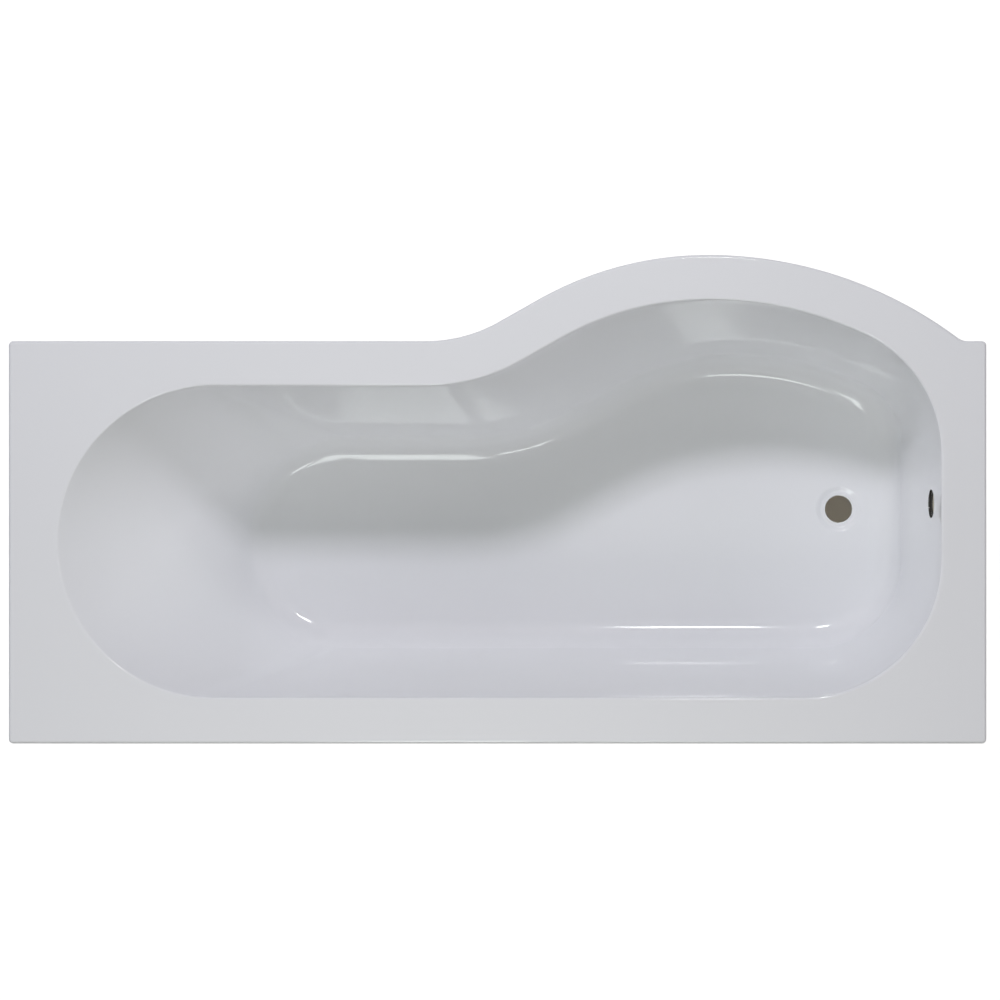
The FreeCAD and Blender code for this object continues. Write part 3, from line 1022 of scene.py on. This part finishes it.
    def rim_bends(self) -> list[Bend]:
        """The bends of the rim's outer edge, with as many columns beside each bend of the well.

        A bend with no radius and no columns only divides a straight, where the well's own straight
        starts or ends beside it.

        Returns:
            Bends that are the same at every depth.
        """
        corner, bulge, count = self.rim.corner, self.bulge, self.columns
        tap, head = self.tap_end - corner, self.head_end + corner
        wall, front = self.wall_side + corner, self.front_side - corner
        straight_end = self.inner.plan(0.0, 0.0)[0, self.inner.runs["tap_front"]][0, 1]
        straight_start = self.wall_edge + self.well.tap_wall
        wall_start = self.tap_edge - self.well.tap_wall
        head_start = self.head_edge + self.head_radius
        upper = 90 + self.sweep
        lower = 90 - self.follow
        last = 90 - self.trail_turn
        trail = (self.peak, self.front_side + self.rise - self.trail)
        stub = (self.tap_end - bulge.stub, self.front_side + bulge.stub_fillet)
        turn = (corner, count.rim_corner)
        point = (0.0, 0)
        tap_rest = count.corner - 2 * count.stub - count.stub_flat - count.rim_corner
        wall_rest = count.corner - count.tap_foot - count.rim_corner
        head_rest = count.corner - count.head - count.rim_corner
        return [
            Bend("hollow", 90, upper, self.hollow_centre, -bulge.hollow, count.hollow, count.slope),
            Bend("lead", upper, 90, self.lead_centre, bulge.lead, count.lead),
            Bend("trail", 90, lower, trail, self.trail, count.trail),
            Bend("trail_end", lower, last, trail, self.trail, count.stub),
            Bend("stub", last, 90, stub, -bulge.stub_fillet, count.stub, count.stub_flat),
            Bend("front_tap", 90, 0, (tap, front), *turn, tap_rest),
            Bend("tap_top", 0, 0, (self.tap_end, straight_end), *point, count.tap),
            Bend("tap_foot", 0, 0, (self.tap_end, straight_start), *point, count.tap_foot),
            Bend("tap_wall", 0, -90, (tap, wall), *turn, wall_rest),
            Bend("wall_tap", -90, -90, (wall_start, self.wall_side), *point, count.wall),
            Bend("wall_head", -90, -90, (head_start, self.wall_side), *point, count.head),
            Bend("head_wall", -90, -180, (head, wall), *turn, head_rest),
            Bend("head_middle", -180, -180, (self.head_end, self.middle), *point, count.head),
            Bend("head_front", -180, -270, (head, front), *turn, head_rest),
            Bend("front_head", -270, -270, (head_start, self.front_side), *point, count.front),
        ]

    def settled(self, plan: Array, drop: Array | float) -> Array:
        """Points at a drop below the rim, where the well's floor falls towards the waste.

        Args:
            plan: The plan points.
            drop: How far below the rim each one would be on a level floor.

        Returns:
            The points, raised by the fall's slope times the distance from the tap end, in proportion
            to their depth.
        """
        drop = np.broadcast_to(drop, plan.shape[:-1])
        lift = self.fall_slope * (self.floor_tap - plan[..., 0]) * drop / self.well.depth
        return np.concatenate((plan, (self.top - drop + lift)[..., None]), axis=-1)

    def floor_turn(self, shares: Array, offset: float) -> Array:
        """The rounding between the floor and the wall, as a ball rolled along both.

        The ball's middle runs at its radius above the floor and inside the wall. The surface lies the
        radius plus the offset away from it, from straight down round to square with the wall.

        Args:
            shares: How far round the ball each row is, from the floor to the wall.
            offset: How far outside the water side the surface lies.

        Returns:
            The rows.
        """
        ball = self.well.floor_round
        spine = self.inner.plan(self.well.depth - ball, -ball)
        angle = shares[:, None] * (math.pi / 2 - self.inner.slant)
        reach = (ball + offset) * np.sin(angle)
        plan = spine + reach[..., None] * self.inner.normal
        return self.settled(plan, self.well.depth - ball + (ball + offset) * np.cos(angle))

    def wall(self, shares: Array, top: Array | float, offset: float) -> Array:
        """The leaning wall, from the floor's rounding up to a depth, along straight lines.

        Args:
            shares: How far up the wall each row is.
            top: The depth at which it ends, for all columns or for each.
            offset: How far outside the water side the surface lies.

        Returns:
            The rows.
        """
        ball = self.well.floor_round
        bottom = self.well.depth - ball + (ball + offset) * np.sin(self.inner.slant)
        depth = bottom + (top - bottom) * shares[:, None]
        return self.settled(self.inner.plan(depth, offset), depth)

    def mouth_turn(self, shares: Array) -> Array:
        """The rounding from the wall over to the flat rim, on a ball inside the acrylic.

        Args:
            shares: How far round the ball each row is, from the wall to the rim.

        Returns:
            The rows.
        """
        ball = self.rim.inner_round
        spine = self.inner.plan(ball, ball)
        angle = (1 - shares[:, None]) * (math.pi / 2 - self.inner.slant)
        plan = spine - (ball * np.sin(angle))[..., None] * self.inner.normal
        return self.settled(plan, ball - ball * np.cos(angle))

    def rim_edge(self) -> Array:
        """The rim's outer rounding, the lip down to its own rounded edge, and the lip's inner face.

        The profile is a quarter circle, a straight down the lip, two quarter circles round the lip's
        edge and a straight up inside it. It is carried round the rim's outline, drawn in by the inset
        and let down by the drop.

        Returns:
            The rows.
        """
        ball, edge, lip, skin = self.rim.outer_round, self.rim.lip_edge, self.rim.lip, self.thickness
        quarter = np.linspace(0, math.pi / 2, self.rows.edge_turn)
        turn = quarter[1::2]
        back = turn - turn[0]
        foot = lip - edge
        up = np.array(self.rows.lip)
        insets = (
            ball - ball * np.sin(quarter),
            np.zeros(2),
            edge - edge * np.cos(turn),
            skin - edge + edge * np.sin(back),
            np.full(len(up), skin),
        )
        drops = (
            ball - ball * np.cos(quarter),
            np.array((lip / 2, foot)),
            foot + edge * np.sin(turn),
            foot + edge * np.cos(back),
            foot - (foot - skin) * up,
        )
        plan = self.outer.plan(0.0, -np.concatenate(insets)[:, None, None])
        height = (self.top - np.concatenate(drops))[:, None, None]
        return np.concatenate((plan, np.broadcast_to(height, plan.shape[:-1] + (1,))), axis=-1)

    def from_waste(self, edge: Array) -> tuple[Array, Array]:
        """Which way, and how far, the floor's edge lies from the waste.

        Args:
            edge: The floor's edge, by column.

        Returns:
            The direction in plan and the distance of each column.
        """
        away = edge[:, :2] - self.waste
        distance = np.linalg.norm(away, axis=-1, keepdims=True)
        return away / distance, distance

    def floor_rows(self, edge: Array, shares: Array, offset: float) -> Array:
        """Rows of the floor that run straight from the waste's dish to the floor's edge.

        Args:
            edge: The floor's edge, by column.
            shares: How far out each row is, from the dish to the edge.
            offset: How far below the water side the rows lie.

        Returns:
            The rows.
        """
        outward, distance = self.from_waste(edge)
        radius = self.well.dish + offset
        reach = radius + (distance - radius) * shares[:, None, None]
        return self.settled(self.waste + outward * reach, self.well.depth + offset)

    def dish_rows(self, edge: Array, offset: float) -> Array:
        """The waste's dish from its middle out: level, then up a soft-edged cone to the floor.

        Args:
            edge: The floor's edge, by column.
            offset: How far below the water side the rows lie.

        Returns:
            The rows, which climb by a smooth step.
        """
        well = self.well
        climb = np.linspace(0, 1, self.rows.dish)
        soft = climb ** 2 * (3 - 2 * climb)
        radii = well.dish - well.dish_side + well.dish_side * climb + offset
        plan = self.waste + self.from_waste(edge)[0] * radii[:, None, None]
        drop = well.depth + offset + well.dish_depth * (1 - soft)
        return self.settled(plan, drop[:, None])

    def waste_rows(self, edge: Array) -> Array:
        """The waste hole's wall from below up, with its upper edge eased.

        Args:
            edge: The floor's edge, by column.

        Returns:
            The rows.
        """
        well = self.well
        ease = well.hole_edge * well.hole_ease
        out = np.array((0.0, 0.0, ease, well.hole_edge))
        below = np.array((self.thickness, well.hole_edge, ease, 0.0))
        plan = self.waste + self.from_waste(edge)[0] * (self.waste_radius + out)[:, None, None]
        return self.settled(plan, (well.depth + well.dish_depth + below)[:, None])

    def overflow_ring(self, spokes: Array, out: float, along: float) -> Array:
        """A ring round the overflow's axis, so far outside its radius and so far along its axis."""
        return self.overflow + spokes * (self.overflow_radius + out) + self.overflow_axis * along

    def overflow_rows(self, border: Array, back: Array) -> Array:
        """The overflow hole: rings from a block's border in to a circle, through the wall and out.

        Args:
            border: The border points of the block on the water side.
            back: The border points of the block behind it.

        Returns:
            The rings between the two borders.
        """
        across = np.array((0.0, 1.0, 0.0))
        upward = np.cross(self.overflow_axis, across)
        away = border - self.overflow
        turned = np.arctan2(away @ upward, away @ across)[:, None]
        spokes = np.cos(turned) * across + np.sin(turned) * upward
        edge = self.well.hole_edge
        ease = edge * self.well.hole_ease
        face = (away @ self.overflow_axis).mean()
        behind = ((back - self.overflow) @ self.overflow_axis).mean()
        mouth = self.overflow_ring(spokes, edge, face)
        eased = self.overflow_ring(spokes, ease, face + ease)
        throat = self.overflow_ring(spokes, 0.0, face + edge)
        outlet = self.overflow_ring(spokes, 0.0, behind)
        before = between(border, mouth, self.rows.to_hole)
        after = between(outlet, back, self.rows.from_hole)
        return np.concatenate((before, np.stack((mouth, eased, throat, outlet)), after))

    def blocks(self) -> dict[str, Array]:
        """The rows of each part, in the order in which they follow each other round the section.

        Returns:
            The parts from the waste hole's wall out over the water side and the rim, and back behind.
        """
        skin = self.thickness
        floor = np.array(self.rows.floor)
        turn = np.linspace(0, 1, self.rows.floor_turn)
        climb = np.linspace(0, 1, self.rows.wall)
        wall_top = self.rim.inner_round * (1 - np.sin(self.inner.slant))
        edge = self.floor_turn(turn[:1], 0.0)[0]
        back_edge = self.floor_turn(turn[:1], skin)[0]
        mouth = self.mouth_turn(np.linspace(0, 1, self.rows.mouth_turn)[1:])
        rim_edge = self.rim_edge()
        back_wall = self.wall(climb, skin, skin)[::-1]
        return {
            "waste": self.waste_rows(edge),
            "dish": self.dish_rows(edge, 0.0),
            "floor": self.floor_rows(edge, floor, 0.0),
            "floor_turn": self.floor_turn(turn, 0.0),
            "wall": self.wall(climb[1:], wall_top, 0.0),
            "mouth": mouth,
            "rim": between(mouth[-1], rim_edge[0], self.rows.flat),
            "rim_edge": rim_edge,
            "under_rim": between(rim_edge[-1], back_wall[0], self.rows.under),
            "back_wall": back_wall,
            "back_turn": self.floor_turn(turn[::2], skin)[::-1][1:],
            "back_floor": self.floor_rows(back_edge, floor[::-2], skin),
            "back_dish": self.dish_rows(back_edge, skin)[::-1],
        }

    def build(self) -> bpy.types.Object:
        """Join all the rows into one closed surface, with the overflow hole let into the tap end.

        Returns:
            The piece.
        """
        blocks = self.blocks()
        rows = np.concatenate(list(blocks.values()))
        ends = np.cumsum([len(block) for block in blocks.values()])
        spans = {name: (int(end) - len(blocks[name]), int(end) - 1) for name, end in zip(blocks, ends)}
        count, columns = rows.shape[:2]
        indices = np.arange(count * columns).reshape(count, columns)
        quads = grid_faces(np.concatenate((indices, indices[:1])))
        front = self.hole_block(rows, spans["wall"])
        behind = self.hole_block(rows, spans["back_wall"])
        front_loop = self.border(indices, front)
        back_loop = self.border(indices, behind, from_below=False)
        points = rows.reshape(-1, 3)
        rings = self.overflow_rows(points[front_loop], points[back_loop])
        ring_indices = len(points) + np.arange(rings.shape[0] * rings.shape[1]).reshape(rings.shape[:2])
        tunnel = grid_faces(np.concatenate((front_loop[None], ring_indices, back_loop[None])))
        covered = np.zeros((count, columns), dtype=bool)
        for (low, high), (left, right) in (front, behind):
            covered[low:high, left:right] = True
        faces = np.concatenate((quads[~covered.ravel()], tunnel))
        points = np.concatenate((points, rings.reshape(-1, 3)))
        used, faces = np.unique(faces, return_inverse=True)
        faces = faces.reshape(-1, 4)
        piece = make_piece("acrylic_moulding", points[used], faces, BATH_BODY, self.sharp)
        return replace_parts(piece, "acrylic_shell")

    def hole_block(self, rows: Array, span: Span) -> tuple[Span, Span]:
        """The rows and columns of a wall that stand round the overflow hole.

        Args:
            rows: All the rows of the moulding.
            span: The wall's first and last row.

        Returns:
            The lowest and highest row, and the lowest and highest column.
        """
        first, last = span
        room = self.overflow_radius * self.hole_room
        straight = self.inner.runs["tap_front"]
        middle = (straight.start + straight.stop) // 2
        heights = rows[first:last, middle, 2]
        inside = np.flatnonzero(np.abs(heights - self.overflow[2]) < room)
        level = rows[first + inside[0], straight, 1]
        beside = np.flatnonzero(np.abs(level - self.overflow[1]) < room)
        low, high = first + int(inside[0]), first + int(inside[-1])
        return (low, high), (straight.start + int(beside[0]), straight.start + int(beside[-1]))

    @staticmethod
    def border(indices: Array, block: tuple[Span, Span], from_below: bool = True) -> Array:
        """The vertex numbers round a block: along its lower edge, up, back along the top and down.

        Args:
            indices: The vertex number of each row and column.
            block: The block's rows and columns.
            from_below: Whether the first row is the lower one.

        Returns:
            The closed border.
        """
        (first, last), (left, right) = block
        patch = indices[first:last + 1, left:right + 1]
        if not from_below:
            patch = patch[::-1]
        return np.concatenate((patch[0, :-1], patch[:-1, -1], patch[-1, :0:-1], patch[:0:-1, 0]))


@dataclass(frozen=True)
class ThreadedStud:
    """A leg's stud: a rolled thread on a steel rod, with its tip eased.

    The thread's flanks are steeper than a plain wave, which leaves flats at its crests and roots.
    """

    leg: str
    pitch: float = 0.0015
    groove: float = 0.00085
    steepness: float = 1.25
    crest: float = 0.1
    tip: float = 0.0012
    around: int = 24
    per_pitch: int = 6
    sharp: float = 35.0

    def build(self) -> bpy.types.Object:
        """Make the stud as one surface of height and angle.

        The radius is the rod's, less the groove times a wave that climbs by one pitch each turn, and it
        shrinks over the tip. A flat cap closes each end.

        Returns:
            The piece, which stands for the plain stud.
        """
        low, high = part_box(self.leg + "_stud")
        middle = (low + high) / 2
        radius = (high.x - low.x) / 2
        length = high.z - low.z
        steps = int(length / self.pitch * self.per_pitch)
        height = np.linspace(0, length, steps)[:, None]
        angle = np.linspace(0, math.tau, self.around, endpoint=False)[None]
        wave = np.abs((height / self.pitch - angle / math.tau) % 1.0 * 2 - 1)
        flank = np.clip(wave * self.steepness - self.crest, 0, 1)
        eased = np.clip((length - height) / self.tip, 0, 1)
        reach = np.minimum(radius - self.groove * flank, radius - self.tip * (1 - eased))
        x = middle.x + reach * np.cos(angle)
        y = middle.y + reach * np.sin(angle)
        points = np.stack((x, y, np.broadcast_to(low.z + height, x.shape)), axis=-1)
        rings = np.arange(x.size).reshape(x.shape)
        faces = np.concatenate((grid_faces(rings), cap_faces(rings[0][::-1]), cap_faces(rings[-1])))
        name = self.leg + "_thread"
        piece = make_piece(name, points.reshape(-1, 3), faces, self.leg, self.sharp)
        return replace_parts(piece, self.leg + "_stud")


class Dressing:
    """The finish of every piece, by its slot in the record."""

    def __init__(self) -> None:
        """Make one material for each finish, and read which slot each node is in."""
        hole = named_mount("overflow_hole")
        # The overflow hole's painted shade, shared by the acrylic and the glass fibre.
        hole_shade = PaintedHoleShade(tuple(hole["pos_m"]), tuple(hole["axis"]), mount_radius(hole))
        finishes = {
            Slot.ACRYLIC: GlossAcrylic("gloss_acrylic", hole_shade),
            Slot.GLASS_FIBRE: SprayedFibre("sprayed_fibre", hole_shade),
            Slot.CHIPBOARD: RawChipboard("raw_chipboard"),
            Slot.PLYWOOD: CutPly("cut_ply"),
            Slot.ZINC_STEEL: ZincPlate("zinc_plate"),
            Slot.SCREW_STEEL: YellowPassivate("yellow_passivate"),
            Slot.STUD_STEEL: ZincPlate("stud_zinc", spangle=320.0),
            Slot.FOOT_PLASTIC: MouldedPlastic("moulded_plastic"),
        }
        timbers = {grain: SawnTimber("timber_" + grain.name.lower(), grain) for grain in Grain}
        self.materials = {slot: finish.material() for slot, finish in finishes.items()}
        self.timbers = {grain: timber.material() for grain, timber in timbers.items()}
        self.slots = {row["node"]: Slot(row["material_slot"]) for row in frame["record"]["subparts"]}

    def timber(self, node: str) -> bpy.types.Material:
        """Sawn timber whose grain runs along the longer side of a node.

        Args:
            node: The node's name.

        Returns:
            The material.
        """
        low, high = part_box(node)
        along_x = high.x - low.x > high.y - low.y
        return self.timbers[Grain.ALONG_X if along_x else Grain.ALONG_Y]

    def dress_nodes(self) -> None:
        """Give each CAD node the material of its slot."""
        for name, node in frame["nodes"].items():
            slot = self.slots[name]
            material = self.timber(name) if slot is Slot.SOFTWOOD else self.materials[slot]
            for holder in node.material_slots:
                holder.material = material
            log.info("%s: %s", name, material.name)

    def dress(self, piece: bpy.types.Object, slot: Slot) -> None:
        """Give a new piece the material of a slot."""
        piece.data.materials.append(self.materials[slot])


@dataclass(frozen=True)
class Lamp:
    """A soft box: its place, its size, its power in watts and its colour."""

    name: str
    place: Triple
    size: tuple[float, float]
    power: float
    colour: Triple
    reach: Reach

    def build(self, aim: Triple) -> None:
        """Put the lamp into the scene, facing a point.

        Args:
            aim: The point.
        """
        light = bpy.data.lights.new(self.name, "AREA")
        light.shape = "RECTANGLE"
        light.size, light.size_y = self.size
        light.energy = self.power
        light.color = self.colour
        lamp = bpy.data.objects.new(self.name, light)
        lamp.location = self.place
        lamp.visible_diffuse, lamp.visible_glossy = self.reach.value
        lamp.rotation_euler = (Vector(aim) - Vector(self.place)).to_track_quat("-Z", "Y").to_euler()
        bpy.context.scene.collection.objects.link(lamp)


@dataclass(frozen=True)
class Studio:
    """A pale floor, soft boxes on all four sides, an even surround and a camera above the bath.

    The floor glows past a level box under the bath, and the glow fades out into it over the fade. This
    paints a soft shade under the bath, on top of the lamps' real shading.
    """

    camera_place: Triple = (0.0042, -0.0014, 7.56)
    lens: float = 145.0
    sensor: float = 36.0
    floor_size: float = 30.0
    floor_shade: Colour = (0.30, 0.30, 0.29, 1.0)
    # The floor's own colour under the bath, inside the painted shade.
    under_shade: Colour = (0.93, 0.90, 0.79, 1.0)
    floor_glow: float = 0.93
    # The glow is left off in this box under the bath, painting a soft shade there.
    under_centre: tuple[float, float] = (0.045, -0.075)
    under_half: tuple[float, float] = (0.75, 0.245)
    under_fade: float = 0.12
    surround: Colour = (0.03, 0.03, 0.03, 1.0)
    aim: Triple = (0.1, 0.0, 0.35)
    lamps: tuple[Lamp, ...] = (
        Lamp("key_box", (-0.88, 3.12, 4.55), (0.55, 0.55), 100.0, (0.93, 0.90, 1.0), Reach.LIGHTS),
        Lamp("key_strip", (0.557, 1.60, 3.165), (0.35, 0.30), 11.0, (1.0, 1.0, 1.0), Reach.MIRRORED),
        Lamp("fill_box", (-0.14, -1.60, 3.165), (0.51, 1.20), 11.5, (0.93, 1.0, 0.97), Reach.MIRRORED),
        Lamp("fill_strip", (0.55, -1.60, 3.165), (0.54, 0.30), 4.5, (0.95, 1.0, 0.98), Reach.MIRRORED),
        Lamp("fill_wash", (-0.16, -1.60, 3.165), (0.55, 1.20), 12.2, (0.89, 1.0, 0.87), Reach.LIGHTS),
        Lamp("front_wash", (0.0, 2.0, 2.5), (1.0, 1.0), 15.8, (0.97, 1.0, 0.96), Reach.LIGHTS),
        Lamp("wall_wash", (-0.2, -2.0, 2.5), (1.0, 1.0), 16.6, (1.0, 0.96, 0.94), Reach.LIGHTS),
        Lamp("tap_wash", (4.0, 0.0, 2.0), (3.0, 3.0), 27.0, (0.99, 0.94, 1.0), Reach.LIGHTS),
        Lamp("head_wash", (-4.0, 0.0, 1.3), (3.0, 1.2), 18.5, (0.84, 0.87, 1.0), Reach.LIGHTS),
    )

    def seen(self, graph: Graph) -> Signal:
        """One for the rays that look at the backdrop: from the camera, off gloss or through glass."""
        rays = ("Is Camera Ray", "Is Glossy Ray", "Is Transmission Ray")
        return reduce(Signal.either, [graph.node("ShaderNodeLightPath", output=ray) for ray in rays])

    def outside(self, graph: Graph) -> Signal:
        """How much the floor glows: none under the bath, which paints a soft shade there and makes its
        holes look dark, and full past it.

        Args:
            graph: The floor's nodes.

        Returns:
            A smooth step over the squared distance from a level box under the bath.
        """
        place = graph.place()
        off_x = (abs(graph.axis(place, "X") - self.under_centre[0]) - self.under_half[0]).either(0.0)
        off_y = (abs(graph.axis(place, "Y") - self.under_centre[1]) - self.under_half[1]).either(0.0)
        inputs = {"Value": off_x * off_x + off_y * off_y, "From Max": self.under_fade**2}
        return graph.node("ShaderNodeMapRange", {"interpolation_type": "SMOOTHSTEP"}, inputs)

    def build_floor(self) -> None:
        """A level floor, which adds a pale glow of its own for the rays that look at it."""
        half = self.floor_size / 2
        corners = [(-half, -half, 0.0), (half, -half, 0.0), (half, half, 0.0), (-half, half, 0.0)]
        mesh = bpy.data.meshes.new("floor")
        mesh.from_pydata(corners, [], [(0, 1, 2, 3)])
        floor = bpy.data.objects.new("floor", mesh)
        bpy.context.scene.collection.objects.link(floor)
        material = bpy.data.materials.new("floor_paper")
        material.use_nodes = True
        graph = Graph(material.node_tree)
        outside = self.outside(graph)
        shade = graph.blend(outside, self.under_shade, self.floor_shade)
        matt = graph.node("ShaderNodeBsdfDiffuse", None, {"Color": shade})
        # No glow under the bath: painted shade there, over the lamps' real shading.
        strength = self.floor_glow * self.seen(graph) * outside
        glow = graph.node("ShaderNodeEmission", None, {"Strength": strength})
        both = graph.node("ShaderNodeAddShader", None, {0: matt, 1: glow})
        graph.node("ShaderNodeOutputMaterial", None, {"Surface": both})
        mesh.materials.append(material)

    def build_surround(self) -> None:
        """An even surround that is as pale as the floor to the rays that look at it."""
        world = bpy.data.worlds.new("surround")
        world.use_nodes = True
        graph = Graph(world.node_tree)
        colour = graph.blend(self.seen(graph), self.surround, grey(self.floor_glow))
        sky = graph.node("ShaderNodeBackground", None, {"Color": colour, "Strength": 1.0})
        graph.node("ShaderNodeOutputWorld", None, {"Surface": sky})
        bpy.context.scene.world = world

    def build_camera(self) -> None:
        """A long lens that looks straight down, with the bulge at the top of the picture."""
        lens = bpy.data.cameras.new("above")
        lens.lens = self.lens
        lens.sensor_width = self.sensor
        camera = bpy.data.objects.new("above", lens)
        camera.location = self.camera_place
        bpy.context.scene.collection.objects.link(camera)
        bpy.context.scene.camera = camera

    def build(self) -> None:
        """Set up the floor, the surround, the lamps, the camera and the view transform."""
        self.build_floor()
        self.build_surround()
        for lamp in self.lamps:
            lamp.build(self.aim)
        self.build_camera()
        bpy.context.scene.view_settings.view_transform = "Standard"


def main() -> None:
    """Build the bath's new pieces, dress everything, and set up the studio."""
    logging.basicConfig(level=logging.INFO, format="%(name)s: %(message)s")
    dressing = Dressing()
    dressing.dress_nodes()
    dressing.dress(Moulding().build(), Slot.ACRYLIC)
    for body in frame["bodies"]:
        if body.endswith("_leg"):
            dressing.dress(ThreadedStud(body).build(), Slot.STUD_STEEL)
    Studio().build()


if __name__ == "__main__":
    main()
